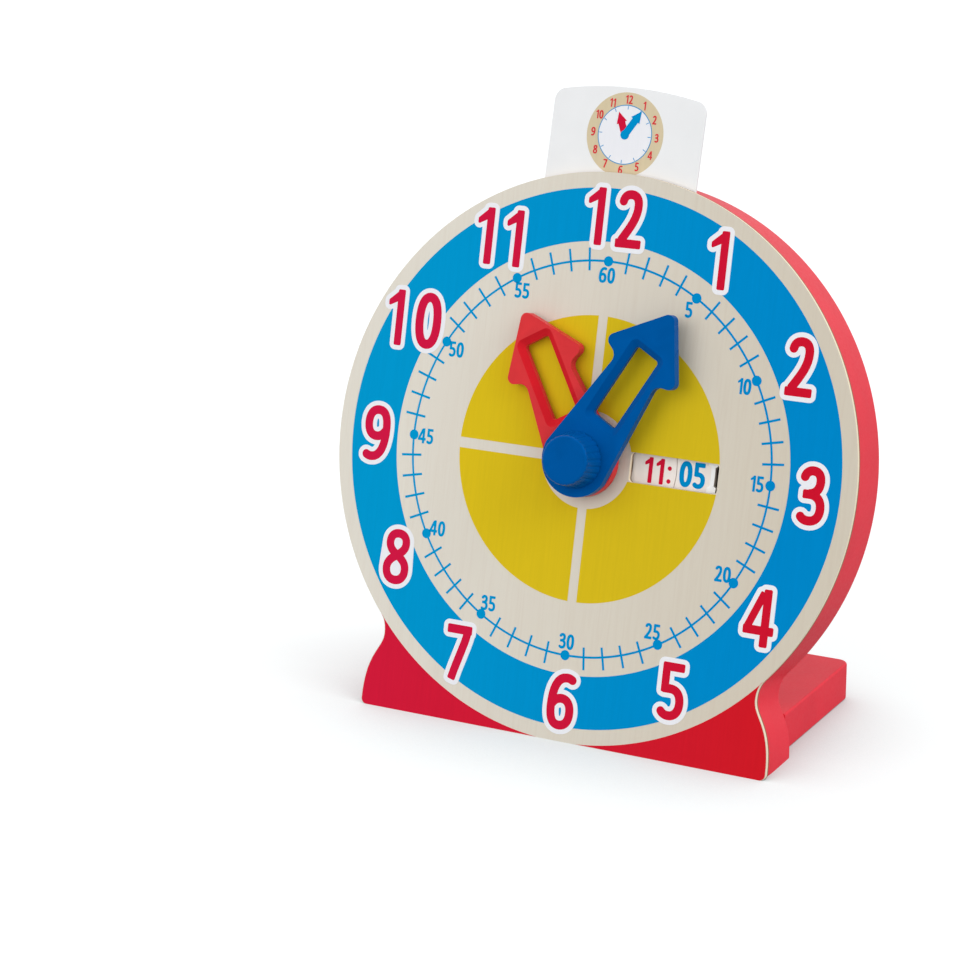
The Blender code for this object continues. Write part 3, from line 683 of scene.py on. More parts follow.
def makeBlock():
    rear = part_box("base_block")[1].y / mm
    shape = flatShape(
        [roundedPoints([
            (-block["half"], block["frontStart"], 0), (block["half"], block["frontStart"], 0),
            (block["half"], rear, block["cornerRound"]), (-block["half"], rear, block["cornerRound"]),
        ], 12)],
        0, block["height"],
    )
    softEdges(shape, block["edgeRound"], 4)
    slopePoint = onFace @ Vector((0, 0, drumBody["back"] - block["gap"])) / mm
    cut = bmesh.ops.bisect_plane(
        shape, geom=shape.verts[:] + shape.edges[:] + shape.faces[:],
        plane_co=slopePoint, plane_no=outward, clear_outer=True,
    )
    rim = [item for item in cut["geom_cut"] if isinstance(item, bmesh.types.BMEdge)]
    bmesh.ops.holes_fill(shape, edges=rim, sides=0)
    holes = []
    for side in (-1, 1):
        x, y = drumBody["dowelAt"]
        hole = flatShape(
            [circlePoints(drumBody["dowelHole"], 32, (side * x, y))],
            drumBody["back"] - drumBody["dowelDepth"], drumBody["back"] + drumBody["dowelDepth"],
        )
        bmesh.ops.transform(hole, matrix=onTable.inverted() @ onFace, verts=hole.verts)
        holes.append(hole)
    shape = carve(shape, *holes)
    finishPiece("foot_block", shape, "case", [redPaint], ["base_block"], onTable)


def makeBackScrews():
    size = backScrews
    for number, angle in enumerate(size["angles"], 1):
        shape = turnedShape(
            [
                (0, 0), (size["headRadius"] - 0.2, 0), (size["headRadius"], 0.2),
                (size["shank"], size["headDepth"]), (size["shank"], size["length"] - size["shank"]),
                (0, size["length"]),
            ],
            32,
        )
        bars = []
        for turn in (0, math.pi / 2):
            bar = flatShape(
                [boxLoop(
                    -size["crossLength"], size["crossLength"], -size["crossWidth"] / 2, size["crossWidth"] / 2
                )],
                -1, size["crossDepth"],
            )
            bmesh.ops.rotate(bar, verts=bar.verts, matrix=Matrix.Rotation(turn + angle, 3, "Z"))
            bars.append(bar)
        shape = carve(shape, *bars)
        place = (size["circle"] * math.cos(angle), size["circle"] * math.sin(angle), drumBody["back"])
        bmesh.ops.translate(shape, verts=shape.verts, vec=place)
        name = "back_screw_%d" % number
        finishPiece(name + "_cross", shape, "case", [steel], [name], smoothLimit=30 * degree)


makeBoard()
makeDrum()
makeBlock()
makeBackScrews()
print("case made")


# Figures are drawn 29 high. A stroke is its half width, whether it closes, a start and its parts:
# two numbers are a line's end, and six are a curve's two handles and end.
figureHeight = 29
strokeHalf = 2.25
cornerRound = 0.8
figures = {
    "0": (15.0, [
        (2.4, True, (7.5, 26.7), (11.2, 26.7, 12.65, 21.5, 12.65, 14.5), (12.65, 7.5, 11.2, 2.3, 7.5, 2.3),
         (3.8, 2.3, 2.35, 7.5, 2.35, 14.5), (2.35, 21.5, 3.8, 26.7, 7.5, 26.7)),
    ]),
    "1": (9.4, [
        (2.1, False, (7.2, 0), (7.2, 29)),
        (0, True, (0.8, 22.9), (0.8, 21.3), (5.3, 23.6), (8.5, 25), (8.5, 28.2), (6.9, 28.2)),
    ]),
    "2": (14.2, [
        (strokeHalf, False, (2.4, 22.0), (2.4, 25.3, 4.2, 26.7, 6.6, 26.7),
         (9.3, 26.7, 10.9, 24.9, 10.9, 21.6), (11.0, 15.5, 8.0, 11.0, 2.9, 3.2)),
        (2.2, False, (0, 2.2), (14.2, 2.2)),
    ]),
    "3": (14.2, [
        (strokeHalf, False, (2.4, 22.5), (2.6, 25.4, 4.6, 26.8, 6.6, 26.8),
         (9.4, 26.8, 10.9, 25.0, 10.9, 21.8), (10.9, 18.0, 8.8, 15.6, 5.0, 15.4)),
        (strokeHalf, False, (5, 15.4), (9.9, 15.4, 12.1, 12.8, 12.1, 8.8), (12.1, 4.6, 10.0, 2.3, 6.6, 2.3),
         (4.4, 2.3, 2.9, 3.0, 2.0, 4.6)),
        (2.2, False, (2.3, 15.2), (8, 15.2)),
    ]),
    "4": (16.4, [
        (2.15, False, (11.45, 0), (11.45, 28.7)),
        (2.2, False, (0, 8.1), (16.2, 8.1)),
        (1.95, False, (1.9, 8.6), (9.6, 27.0)),
    ]),
    "5": (14.4, [
        (2.15, False, (1.4, 26.9), (13.2, 26.9)),
        (2.1, False, (3.4, 13.8), (3.4, 29)),
        (strokeHalf, False, (2.0, 15.8), (6.4, 15.9), (10.2, 15.9, 12.1, 13.2, 12.1, 9.2),
         (12.1, 4.7, 9.8, 2.3, 6.5, 2.3), (4.6, 2.3, 3.0, 3.1, 2.1, 4.7)),
    ]),
    "6": (15.5, [
        (2.3, False, (13.4, 25.7), (12.2, 26.5, 11, 26.8, 10, 26.8), (4.6, 26.8, 2.35, 20.5, 2.35, 11.5),
         (2.35, 5.2, 4.0, 2.25, 7.7, 2.25), (11.3, 2.25, 13.1, 5.0, 13.1, 9.3),
         (13.1, 13.5, 11.2, 16.0, 8.0, 16.0), (5.6, 16.0, 3.6, 14.6, 2.9, 12.6)),
    ]),
    "7": (14.4, [
        (2.3, False, (0, 26.6), (14.3, 26.6)),
        (strokeHalf, False, (11.9, 28.0), (11.8, 21.0, 8.2, 14.5, 4.7, 0.3)),
    ]),
    "8": (15.5, [
        (2.25, True, (7.8, 15.4), (4.6, 17.4, 3.1, 19.2, 3.1, 21.8), (3.1, 25.0, 5.0, 26.75, 7.85, 26.75),
         (10.8, 26.75, 12.6, 25.0, 12.6, 21.8), (12.6, 19.2, 11.0, 17.4, 7.8, 15.4),
         (4.0, 13.2, 2.3, 11.2, 2.3, 8.2), (2.3, 4.4, 4.5, 2.25, 7.75, 2.25),
         (11.0, 2.25, 13.2, 4.4, 13.2, 8.2), (13.2, 11.2, 11.6, 13.2, 7.8, 15.4)),
    ]),
    ":": (4.4, [
        (0, True, (2.2, 19.3)),
        (0, True, (2.2, 4.4)),
    ]),
}
dotRadius = 2.2


def bar(start, end, half):
    along = (end - start).normalized() * half
    side = Vector((-along.y, along.x))
    return [start + side, start - side, end - side, end + side]


def disc(centre, radius, sides):
    return [centre + Vector(point) for point in circlePoints(radius, sides)]


def strokePatches(stroke, grow, curveSteps, sides):
    half, closes, start, *parts = stroke
    points = [Vector(start)]
    for part in parts:
        if len(part) == 2:
            points.append(Vector(part))
        else:
            first, second, end = part[0:2], part[2:4], part[4:6]
            points += [Vector(p) for p in curvePoints(points[-1], first, second, end, curveSteps)[1:]]
    if len(points) == 1:
        return [disc(points[0], dotRadius + grow, sides)]
    reach = cornerRound + grow
    if not half:  # a solid corner piece, grown all round
        ring = points + points[:1]
        patches = [points] + [bar(a, b, reach) for a, b in zip(ring, ring[1:])]
        return patches + [disc(point, reach, sides) for point in points]
    core = half - cornerRound
    if not closes:
        points[0] = points[0] + (points[1] - points[0]).normalized() * cornerRound
        points[-1] = points[-1] + (points[-2] - points[-1]).normalized() * cornerRound
    patches = [bar(a, b, core + reach) for a, b in zip(points, points[1:])]
    patches += [disc(point, core + reach, sides) for point in points[(0 if closes else 1):-1]]
    if not closes:
        for end, inside in ((points[0], points[1]), (points[-1], points[-2])):
            out = (end - inside).normalized()
            side = Vector((-out.y, out.x)) * core
            patches.append(bar(end, end + out * reach, core))
            patches += [disc(end + side, reach, sides), disc(end - side, reach, sides)]
    return patches


def inkShape(patches):
    # melts overlapping patches into one flat sheet
    corners, faces = [], []
    for patch in patches:
        faces.append(list(range(len(corners), len(corners) + len(patch))))
        corners += [Vector(point) for point in patch]
    points, _, triangles, _, _, sources = delaunay_2d_cdt(corners, [], faces, 0, 0.0005)
    sheet = bmesh.new()
    verts = [sheet.verts.new((point.x, point.y, 0)) for point in points]
    for triangle, source in zip(triangles, sources):
        if source:
            sheet.faces.new([verts[index] for index in triangle])
    bmesh.ops.delete(sheet, geom=[v for v in sheet.verts if not v.link_faces], context="VERTS")
    bmesh.ops.dissolve_limit(sheet, angle_limit=1.5 * degree, verts=sheet.verts, edges=sheet.edges)
    return sheet


def figureMesh(figure, grow, curveSteps, sides, known={}):
    key = (figure, grow, curveSteps, sides)
    if key not in known:
        drawn = "6" if figure == "9" else figure
        width, strokes = figures[drawn]
        patches = []
        for stroke in strokes:
            patches += strokePatches(stroke, grow, curveSteps, sides)
        if figure == "9":
            middle = Vector((width, figureHeight))
            patches = [[middle - point for point in patch] for patch in patches]
        sheet = inkShape(patches)
        known[key] = bpy.data.meshes.new("figure")
        sheet.to_mesh(known[key])
        sheet.free()
    return known[key]


def figureWidth(figure):
    return figures["6" if figure == "9" else figure][0]


def stamp(sheet, text, height, centre, gap, align="CENTER", grow=0, turn=0, curveSteps=8, sides=20):
    # lays a number on a flat sheet; the gap is in the figures' own units
    share = height / figureHeight
    width = sum(figureWidth(figure) for figure in text) + gap * (len(text) - 1)
    pen = {"CENTER": -width / 2, "RIGHT": -width, "LEFT": 0}[align]
    for figure in text:
        before = len(sheet.verts)
        sheet.from_mesh(figureMesh(figure, grow, curveSteps, sides))
        sheet.verts.ensure_lookup_table()
        move = (
            Matrix.Rotation(turn, 4, "Z") @ Matrix.Translation((*centre, 0))
            @ Matrix.Scale(share, 4) @ Matrix.Translation((pen, -figureHeight / 2, 0))
        )
        bmesh.ops.transform(sheet, matrix=move, verts=sheet.verts[before:])
        pen += figureWidth(figure) + gap


def thicken(sheet, low, high):
    # a thin closed film from a flat sheet
    bmesh.ops.translate(sheet, verts=sheet.verts, vec=(0, 0, low))
    grown = bmesh.ops.extrude_face_region(sheet, geom=sheet.faces[:])
    tops = [item for item in grown["geom"] if isinstance(item, bmesh.types.BMVert)]
    bmesh.ops.translate(sheet, verts=tops, vec=(0, 0, high - low))
    bmesh.ops.recalc_face_normals(sheet, faces=sheet.faces)
    return sheet


facePrint = {
    "sunk": -0.03, "underFilm": 0.04, "whiteFilm": 0.08, "redFilm": 0.12,
    "blueRing": (109.7, 136.5), "pie": (25.0, 72.6), "cross": (-2.0, 3.0, -3.0, 2.4),
    "track": 100.0, "trackWidth": 1.1, "tick": (95.0, 106.5), "tickWidth": 1.2, "dot": 2.6,
    "minuteFigures": 93.0, "minuteHeight": 7.8, "minuteWeight": 0.4,
    "hourHeight": 29.0, "outline": 2.35, "pairGap": 7.4, "footMeet": 11.2, "footInset": 0.35,
}
hourPlaces = {
    "12": (1.0, 122), "1": (59.4, 106.4), "2": (108.6, 59.4), "3": (122, -2), "4": (102.4, -64.6),
    "5": (60.4, -108.6), "6": (0.6, -123.6), "7": (-61, -108.6), "8": (-102.6, -64.6), "9": (-122, -2),
    "10": (-107, 59.4), "11": (-62.6, 106.4),
}


def printPiece(name, shape, body, ink):
    return finishPiece(name, shape, body, [ink])


def makeFacePrint():
    size = facePrint
    ring = [circlePoints(radius, 240) for radius in size["blueRing"]]
    ringFilm = flatShape(ring, size["sunk"], size["underFilm"])
    printPiece("blue_ring_print", ringFilm, "case", blueInk)

    low, high = size["pie"]
    left, right, bottom, top = size["cross"]
    windowBottom, windowTop = case["window"][2:]
    quarters = []
    for across, up, sideX, sideY in (
        (left, top, -1, 1), (left, bottom, -1, -1), (right, max(top, windowTop), 1, 1),
        (right, min(bottom, windowBottom), 1, -1),
    ):
        # from the vertical bar round the outside to the level bar, and back along the inner circle
        ends = []
        for radius in (high, low):
            standing = math.atan2(math.sqrt(radius**2 - across**2) * sideY, across)
            lying = math.atan2(up, math.sqrt(radius**2 - up**2) * sideX)
            if standing - lying > math.pi:
                lying += 2 * math.pi
            if lying - standing > math.pi:
                standing += 2 * math.pi
            ends.append((radius, standing, lying))
        outer = arcPoints(*ends[0], 60)
        inner = arcPoints(*ends[1], 30)
        quarters.append(outer + inner[::-1])
    printPiece(
        "yellow_quarters_print", flatShape(quarters, size["sunk"], size["underFilm"]),
        "case", yellowInk,
    )

    half = size["trackWidth"] / 2
    patches = []
    loop = [Vector(point) for point in circlePoints(size["track"], 240)]
    for a, b in zip(loop, loop[1:] + loop[:1]):
        along = (b - a).normalized() * 0.1
        patches.append(bar(a - along, b + along, half))
    for minute in range(60):
        angle = minute * 6 * degree
        way = Vector((math.sin(angle), math.cos(angle)))
        if minute % 5:
            patches.append(bar(way * size["tick"][0], way * size["tick"][1], size["tickWidth"] / 2))
        else:
            patches.append(disc(way * size["track"], size["dot"], 32))
    track = thicken(inkShape(patches), size["sunk"], size["underFilm"])
    printPiece("minute_track_print", track, "case", blueInk)

    sheet = bmesh.new()
    for minute in range(5, 65, 5):
        angle = minute * 6 * degree
        centre = (size["minuteFigures"] * math.sin(angle), size["minuteFigures"] * math.cos(angle))
        stamp(
            sheet, str(minute), size["minuteHeight"], centre, 2.0, grow=size["minuteWeight"],
            curveSteps=5, sides=12,
        )
    minuteFigures = thicken(sheet, size["sunk"], size["underFilm"])
    printPiece("minute_figures_print", minuteFigures, "case", blueInk)

    for name, grow, film, ink in (
        ("hour_outlines_print", size["outline"], size["whiteFilm"], whiteInk),
        ("hour_figures_print", 0, size["redFilm"], redInk),
    ):
        sheet = bmesh.new()
        for text, centre in hourPlaces.items():
            stamp(sheet, text, size["hourHeight"], centre, size["pairGap"], grow=grow)
        printPiece(name, thicken(sheet, size["sunk"], film), "case", ink)

    shoulderHeight = case["radius"] * math.sin(case["shoulder"])
    right = [(x, y) for x, y in caseOutline(size["footInset"]) if x > 0 and y < shoulderHeight]
    meet = math.acos(size["footMeet"] / case["radius"])
    arcSide = arcPoints(case["radius"], -meet, case["shoulder"] - 0.004, 40)
    loop = arcSide + [point for point in right[::-1] if point[1] < arcSide[-1][1] - 0.2]
    foot = [loop, [(-x, y) for x, y in loop]]
    shape = flatShape(foot, size["sunk"], size["underFilm"])
    standOnTable(shape)
    printPiece("foot_print", shape, "case", footInk)


makeFacePrint()
print("face printed")


hourRing = {
    "radius": 47.95, "hole": 24.0, "front": -3.8, "back": -6.5, "edgeRound": 0.3,
    "labelHeight": 12.6, "labelWeight": 0.4, "labelRight": 45.2, "labelUp": -1.0, "labelGap": 5.0,
}
minuteRing = {
    "inner": 48.25, "outer": 70.4, "lip": 5.0, "lipFront": -3.45, "edgeRound": 0.25,
    "notchHalf": 5.4, "notchDepth": 1.4, "notchRamp": 0.7, "notches": 12,
    "labelHeight": 12.6, "labelWeight": 0.5, "labelAt": 56.8, "labelUp": -0.5, "labelGap": 2.0,
}
labelSunk = 0.03
labelFilm = 0.05


def scalloped(radius, inward):
    # a circle with a shallow notch, or a bump where inward is -1, at each five minutes
    size = minuteRing
    half = size["notchHalf"] / radius
    ramp = size["notchRamp"] / radius
    points = []
    for index in range(size["notches"]):
        middle = 2 * math.pi * index / size["notches"]
        after = middle + 2 * math.pi / size["notches"]
        floor = radius - inward * size["notchDepth"]
        points += arcPoints(floor, middle - half + ramp, middle + half - ramp, 8)
        points += arcPoints(radius, middle + half, after - half, 10)
    return points


def makeHourRing():
    size = hourRing
    loops = [circlePoints(size["radius"], 180), circlePoints(size["hole"], 96)]
    shape = flatShape(loops, size["back"], size["front"])
    softEdges(shape, size["edgeRound"], 2)
    finishPiece("hour_disc_ring", shape, "hour_display", [whitePlastic], ["hour_disc"])
    sheet = bmesh.new()
    for hour in range(1, 13):
        turn = (hour - 11) * 30 * degree
        label = str(hour)
        place = (size["labelRight"], size["labelUp"])
        stamp(
            sheet, label + ":", size["labelHeight"], place, size["labelGap"], "RIGHT",
            size["labelWeight"], turn, 6, 14,
        )
    labels = thicken(sheet, size["front"] - labelSunk, size["front"] + labelFilm)
    printPiece("hour_labels_print", labels, "hour_display", redInk)


def makeMinuteRing():
    size = minuteRing
    back, front = hourRing["back"], hourRing["front"]
    loops = [scalloped(size["outer"], 1), circlePoints(size["inner"], 180)]
    shape = flatShape(loops, back, size["lipFront"])
    recess = flatShape([scalloped(size["outer"] - size["lip"], -1)], front, size["lipFront"] + cutPast)
    shape = carve(shape, recess)
    softEdges(shape, size["edgeRound"], 2)
    shape.normal_update()
    # the lip's front faces take a whiter copy of the disc plastic, a painted highlight where the raised lip
    # catches light
    for face in shape.faces:
        face.material_index = 1 if face.calc_center_median().z > front + 0.2 else 0
    finishPiece(
        "minute_disc_ring", shape, "minute_arbor",
        [whitePlastic, lipLitPlastic], ["minute_disc"],
    )
    sheet = bmesh.new()
    for minute in range(0, 60, 5):
        turn = (minute / 5 - 1) * 30 * degree
        place = (size["labelAt"], size["labelUp"])
        stamp(
            sheet, "%02d" % minute, size["labelHeight"], place, size["labelGap"], "CENTER",
            size["labelWeight"], turn, 6, 14,
        )
    labels = thicken(sheet, front - labelSunk, front + labelFilm)
    printPiece("minute_labels_print", labels, "minute_arbor", blueInk)


makeHourRing()
makeMinuteRing()
print("figure discs made")


hands = {
    "headLength": 35.3, "headHalf": 23.7, "headRise": 3.9, "armHalf": 13.0, "hub": 18.8,
    "slot": (24.3, 65.2), "slotHalf": 7.1, "tipRound": 3.4, "barbRound": 3.4, "neckRound": 5.0,
    "slotRound": 1.6, "slopeWidth": 3.4, "slopeDrop": 2.2, "edgeRound": 0.5,
}
hourHand = {"tip": 82.4, "near": 2.0, "far": 7.5, "angle": 30 * degree, "bore": 5.2}
minuteHand = {"tip": 90.5, "near": 8.0, "far": 13.0, "angle": -29.5 * degree, "bore": 2.8}


def slotLoop(grow):
    start, end = hands["slot"]
    half = hands["slotHalf"] + grow
    return roundedPoints(boxCorners(-half, half, start - grow, end + grow, hands["slotRound"] + grow * 0.6))


def lofted(levels):
    # a closed skin over outlines of equal count, from the lowest level to the highest
    shape = bmesh.new()
    rings = [[shape.verts.new((x, y, height)) for x, y in loop] for loop, height in levels]
    for low, high in zip(rings, rings[1:]):
        for index in range(len(low)):
            after = (index + 1) % len(low)
            shape.faces.new((low[index], low[after], high[after], high[index]))
    shape.faces.new(rings[0][::-1])
    shape.faces.new(rings[-1])
    bmesh.ops.recalc_face_normals(shape, faces=shape.faces)
    return shape


def makeHand(name, hand, body, finishes, node):
    size = hands
    head = hand["tip"] - size["headLength"]
    swing = math.asin((size["hub"] - size["armHalf"]) / head)
    corners = [(x, y, 0) for x, y in arcPoints(size["hub"], -swing, -math.pi + swing, 72)]
    corners += [
        (-size["armHalf"], head, size["neckRound"]),
        (-size["headHalf"], head + size["headRise"], size["barbRound"]),
        (0, hand["tip"], size["tipRound"]),
        (size["headHalf"], head + size["headRise"], size["barbRound"]),
        (size["armHalf"], head, size["neckRound"]),
    ]
    loops = [roundedPoints(corners, 12), slotLoop(0), circlePoints(hand["bore"], 48)]
    shape = flatShape(loops, hand["near"], hand["far"])
    softEdges(shape, size["edgeRound"], 3, 60 * degree)
    # a broad slope falls from the flat to the slot
    slope = lofted([
        (slotLoop(0.02), hand["far"] - size["slopeDrop"]),
        (slotLoop(size["slopeWidth"]), hand["far"] + 0.02),
        (slotLoop(size["slopeWidth"]), hand["far"] + 2),
    ])
    shape = carve(shape, slope)
    shape.normal_update()
    for face in shape.faces:
        middle = face.calc_center_median()
        inSlope = (
            abs(middle.x) < size["slotHalf"] + size["slopeWidth"]
            and size["slot"][0] - size["slopeWidth"] < middle.y < size["slot"][1] + size["slopeWidth"]
        )
        # the slope's faces take a darker copy of the plastic, painted shade where the slope catches less
        # light; the other sloped faces, the rounded edges, take the glossier edge finish
        if isSloped(face):
            face.material_index = 1 if inSlope else 2
    bmesh.ops.rotate(shape, verts=shape.verts, matrix=Matrix.Rotation(hand["angle"], 3, "Z"))
    finishPiece(name, shape, body, finishes, [node], smoothLimit=18 * degree)


knob = {
    "front": 26.0, "base": 13.3, "frontRadius": 12.6, "baseRadius": 14.3, "chamfer": 1.4,
    "bore": 2.8, "boreEnd": 21.0, "grooves": 24, "grooveDepth": 0.32, "stepsPerGroove": 10, "levels": 8,
}


def makeKnob():
    size = knob
    wall = []
    for level in range(size["levels"] + 1):
        share = level / size["levels"]
        height = size["front"] - size["chamfer"] + share * (size["base"] - size["front"] + size["chamfer"])
        wall.append((size["frontRadius"] + share * (size["baseRadius"] - size["frontRadius"]), height))
    crown = [(0, size["front"])]
    for step in range(6):
        angle = math.pi / 2 * step / 5
        crown.append((
            size["frontRadius"] - size["chamfer"] * (1 - math.sin(angle)),
            size["front"] - size["chamfer"] * (1 - math.cos(angle)),
        ))
    profile = crown + wall[1:]
    profile += [(size["bore"], size["base"]), (size["bore"], size["boreEnd"]), (0, size["boreEnd"])]
    shape = turnedShape(profile, size["grooves"] * size["stepsPerGroove"])
    for vert in shape.verts:
        radius = math.hypot(vert.co.x, vert.co.y)
        full = radius > size["frontRadius"] - size["chamfer"] * 0.5
        if not full or vert.co.z > size["front"] - size["chamfer"] * 0.35:
            continue
        turn = math.atan2(vert.co.y, vert.co.x) * size["grooves"] - math.pi
        dip = size["grooveDepth"] * max(0, math.cos(turn) * 1.35 - 0.35)
        fade = min(1, (size["front"] - vert.co.z) / size["chamfer"])
        share = 1 - dip * fade / radius
        vert.co.x *= share
        vert.co.y *= share
    shape.normal_update()
    for face in shape.faces:
        if isSloped(face):
            face.material_index = 1
    finishPiece(
        "knob_fluted", shape, "minute_arbor", [bluePlastic, blueEdge], ["minute_knob"],
        smoothLimit=32 * degree,
    )


redFinishes = [redPlastic, redSlopeShade, redEdge]
blueFinishes = [bluePlastic, blueSlopeShade, blueEdge]
makeHand("hour_hand_red", hourHand, "hour_arbor", redFinishes, "hour_hand")
makeHand("minute_hand_blue", minuteHand, "minute_arbor", blueFinishes, "minute_hand")
makeKnob()
print("hands and knob made")


card = {
    "half": 42.0, "bottom": 130.2, "cornerTop": 181.8, "arch": 4.5, "round": 6.5,
    "front": -3.3, "thickness": 1.2, "edgeRound": 0.25, "shift": -0.5, "tilt": -1.3 * degree,
    "dial": (-0.3, 163.6), "tanRadius": 21.1, "whiteRadius": 14.7,
    "lineWidth": 0.4, "tick": (12.6, 14.3), "tickWidth": 0.35,
    "figureHeight": 4.3, "figureWeight": 0.25, "figureCircle": 17.6, "figureGap": 3.0,
    "sunk": 0.03, "film": 0.04, "hourLength": 12.0, "hourAngle": -23 * degree,
    "minuteLength": 14.6, "minuteAngle": 32 * degree,
    "headLength": 5.6, "headHalf": 2.9, "armHalf": 1.9, "hub": 2.4,
}


def cardOutline():
    size = card
    radius = (size["half"] ** 2 + size["arch"] ** 2) / (2 * size["arch"])
    spread = math.asin((size["half"] - size["round"]) / radius)
    centre = (0, size["cornerTop"] + size["arch"] - radius)
    top = arcPoints(radius, math.pi / 2 - spread, math.pi / 2 + spread, 40, centre)
    drop = (size["half"] + top[-1][0]) * math.tan(spread)
    corners = [(x, y, 0) for x, y in top]
    corners += [(-size["half"], top[-1][1] - drop, size["round"]), (-size["half"], size["bottom"], 0)]
    corners += [(size["half"], size["bottom"], 0), (size["half"], top[0][1] - drop, size["round"])]
    return roundedPoints(corners, 12)


def cardHand(length, angle):
    # a broad arm with an arrow head
    size = card
    way = Vector((math.sin(angle), math.cos(angle)))
    side = Vector((-way.y, way.x)) * size["headHalf"]
    neck = way * (length - size["headLength"])
    arm = bar(Vector((0, 0)), neck + way * 0.5, size["armHalf"])
    foot = disc(Vector((0, 0)), size["hub"], 24)
    return [arm, foot, [way * length, neck + side, neck - side]]


def makeCard():
    size = card
    shape = flatShape([cardOutline()], size["front"] - size["thickness"], size["front"])
    softEdges(shape, size["edgeRound"], 2, 60 * degree)
    tip = Matrix.Translation((size["half"] + size["shift"], size["bottom"], 0))
    tip = tip @ Matrix.Rotation(size["tilt"], 4, "Z")
    tip = tip @ Matrix.Translation((-size["half"], -size["bottom"], 0))
    bmesh.ops.transform(shape, matrix=tip, verts=shape.verts)
    finishPiece("time_card_board", shape, "card", [cardStock], ["time_card"])
    centre = Vector(size["dial"])
    low, film = size["front"] - size["sunk"], size["film"]

    def cardPrint(name, sheet, level, ink):
        place = Matrix.Translation((*centre, 0)) @ Matrix.Rotation(size["tilt"], 4, "Z")
        bmesh.ops.transform(sheet, matrix=place, verts=sheet.verts)
        printPiece(name, thicken(sheet, low, size["front"] + film * level), "card", ink)

    cardPrint("card_tan_ring", inkShape([circlePoints(size["tanRadius"], 120)]), 1, tanInk)
    cardPrint("card_dial_white", inkShape([circlePoints(size["whiteRadius"], 96)]), 2, whiteInk)
    line = size["lineWidth"] / 2
    patches = []
    loop = [Vector(point) for point in circlePoints(size["whiteRadius"], 96)]
    for a, b in zip(loop, loop[1:] + loop[:1]):
        along = (b - a).normalized() * 0.03
        patches.append(bar(a - along, b + along, line))
    for hour in range(12):
        angle = hour * 30 * degree
        way = Vector((math.sin(angle), math.cos(angle)))
        patches.append(bar(way * size["tick"][0], way * size["tick"][1], size["tickWidth"] / 2))
    cardPrint("card_dial_lines", inkShape(patches), 3, blueInk)
    sheet = bmesh.new()
    for hour in range(1, 13):
        angle = hour * 30 * degree
        at = (size["figureCircle"] * math.sin(angle), size["figureCircle"] * math.cos(angle))
        stamp(
            sheet, str(hour), size["figureHeight"], at, size["figureGap"],
            grow=size["figureWeight"], curveSteps=4, sides=10,
        )
    cardPrint("card_figures", sheet, 3, cardRed)
    cardPrint("card_hour_arrow", inkShape(cardHand(size["hourLength"], size["hourAngle"])), 4, redInk)
    cardPrint("card_minute_arrow", inkShape(cardHand(size["minuteLength"], size["minuteAngle"])), 5, blueInk)


makeCard()
print("time card made")


studio = {
    "floorHalf": 8.0,
    "floorTone": srgb(170, 176, 177),
    "floorGlow": 0.66,
    "contactReach": 0.11,
    "skyGlow": 0.74,
    "lamps": {
        "windowLight": ((-0.45, -1.0, 0.5), 0.78, 50 * degree),
        "sideLight": ((1.0, -0.1, 0.75), 0.95, 40 * degree),
    },
}


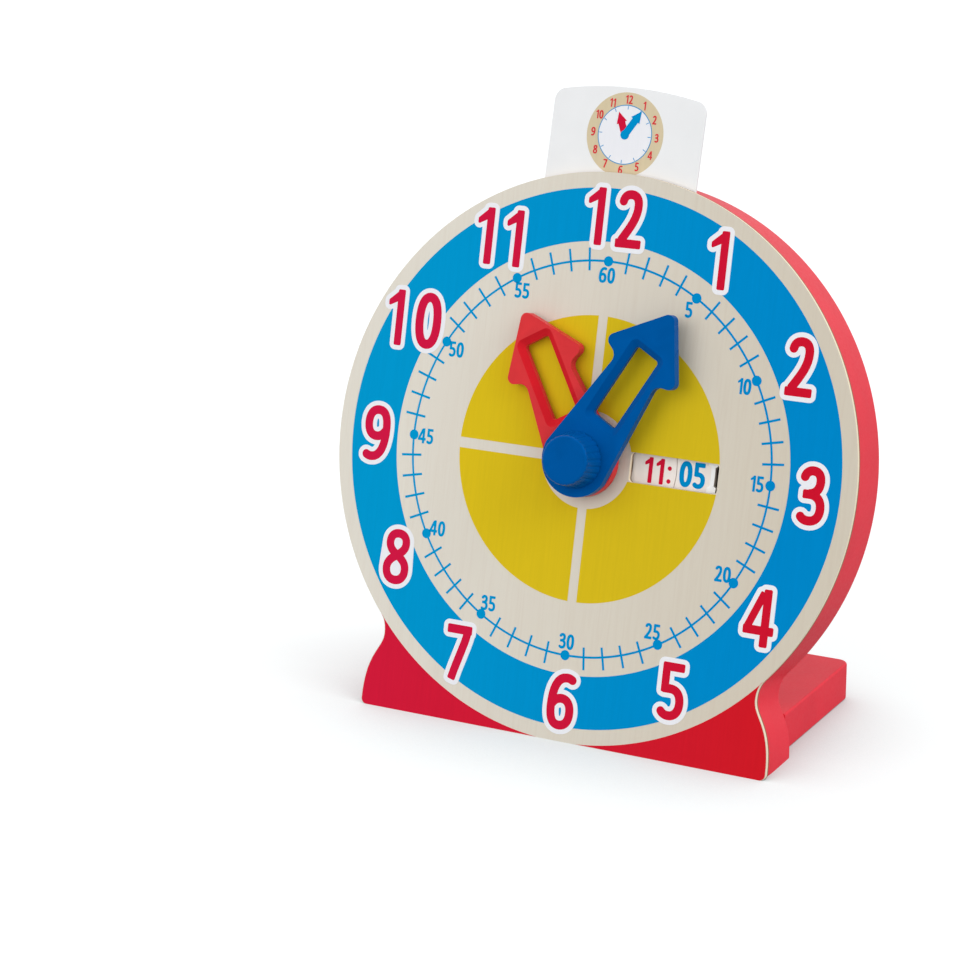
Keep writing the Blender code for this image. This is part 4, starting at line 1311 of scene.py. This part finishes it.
def makeFloor():
    shape = bmesh.new()
    bmesh.ops.create_grid(shape, x_segments=4, y_segments=4, size=studio["floorHalf"])
    mesh = bpy.data.meshes.new("table")
    shape.to_mesh(mesh)
    shape.free()
    table = bpy.data.objects.new("table", mesh)
    bpy.context.scene.collection.objects.link(table)
    paper = Finish("tablePaper", 0.85)
    paper.shader.inputs["Base Color"].default_value = studio["floorTone"]
    glow = paper.add("Emission", {"Color": plainWhite})
    rays = paper.add("LightPath")
    seen = paper.add("Math", operation="MULTIPLY")
    # the glow fades where the clock stands close, and leaves a soft grey shade there
    contact = paper.add("AmbientOcclusion", {"Distance": studio["contactReach"]}, samples=8)
    clear = paper.add("Math", operation="MULTIPLY")
    clear.inputs[1].default_value = studio["floorGlow"]
    paper.join(contact.outputs["AO"], clear.inputs[0])
    paper.join(rays.outputs["Is Camera Ray"], seen.inputs[0])
    paper.join(clear.outputs[0], seen.inputs[1])
    paper.join(seen.outputs[0], glow.inputs["Strength"])
    both = paper.add("AddShader")
    paper.join(paper.shader.outputs[0], both.inputs[0])
    paper.join(glow.outputs[0], both.inputs[1])
    output = paper.material.node_tree.nodes["Material Output"]
    paper.join(both.outputs[0], output.inputs["Surface"])
    mesh.materials.append(paper.material)


def makeLight():
    world = bpy.data.worlds.new("studio")
    bpy.context.scene.world = world
    world.use_nodes = True
    nodes, links = world.node_tree.nodes, world.node_tree.links
    background = nodes["Background"]
    background.inputs["Color"].default_value = plainWhite
    rays = nodes.new("ShaderNodeLightPath")
    lift = nodes.new("ShaderNodeMapRange")
    lift.inputs["To Min"].default_value = studio["skyGlow"]
    lift.inputs["To Max"].default_value = 1.0
    links.new(rays.outputs["Is Camera Ray"], lift.inputs["Value"])
    links.new(lift.outputs["Result"], background.inputs["Strength"])
    for name, (source, glow, softness) in studio["lamps"].items():
        sun = bpy.data.lights.new(name, "SUN")
        sun.energy = glow
        sun.angle = softness
        lamp = bpy.data.objects.new(name, sun)
        lamp.rotation_euler = Vector(source).to_track_quat("Z", "Y").to_euler()
        bpy.context.scene.collection.objects.link(lamp)


camera = {
    "place": (0.62154, -1.30251, 0.54960),
    "right": (0.87903, 0.47675, -0.00478),
    "up": (-0.13308, 0.25496, 0.95775),
    "lens": 108.55,
}


def makeCamera():
    lens = bpy.data.cameras.new("photoView")
    lens.lens = camera["lens"]
    viewer = bpy.data.objects.new("photoView", lens)
    right, up = Vector(camera["right"]).normalized(), Vector(camera["up"]).normalized()
    turn = Matrix((right, up, right.cross(up))).transposed()
    viewer.matrix_world = Matrix.Translation(camera["place"]) @ turn.to_4x4()
    bpy.context.scene.collection.objects.link(viewer)
    bpy.context.scene.camera = viewer


makeFloor()
makeLight()
makeCamera()
bpy.context.scene.view_settings.view_transform = "Standard"
print("scene ready")
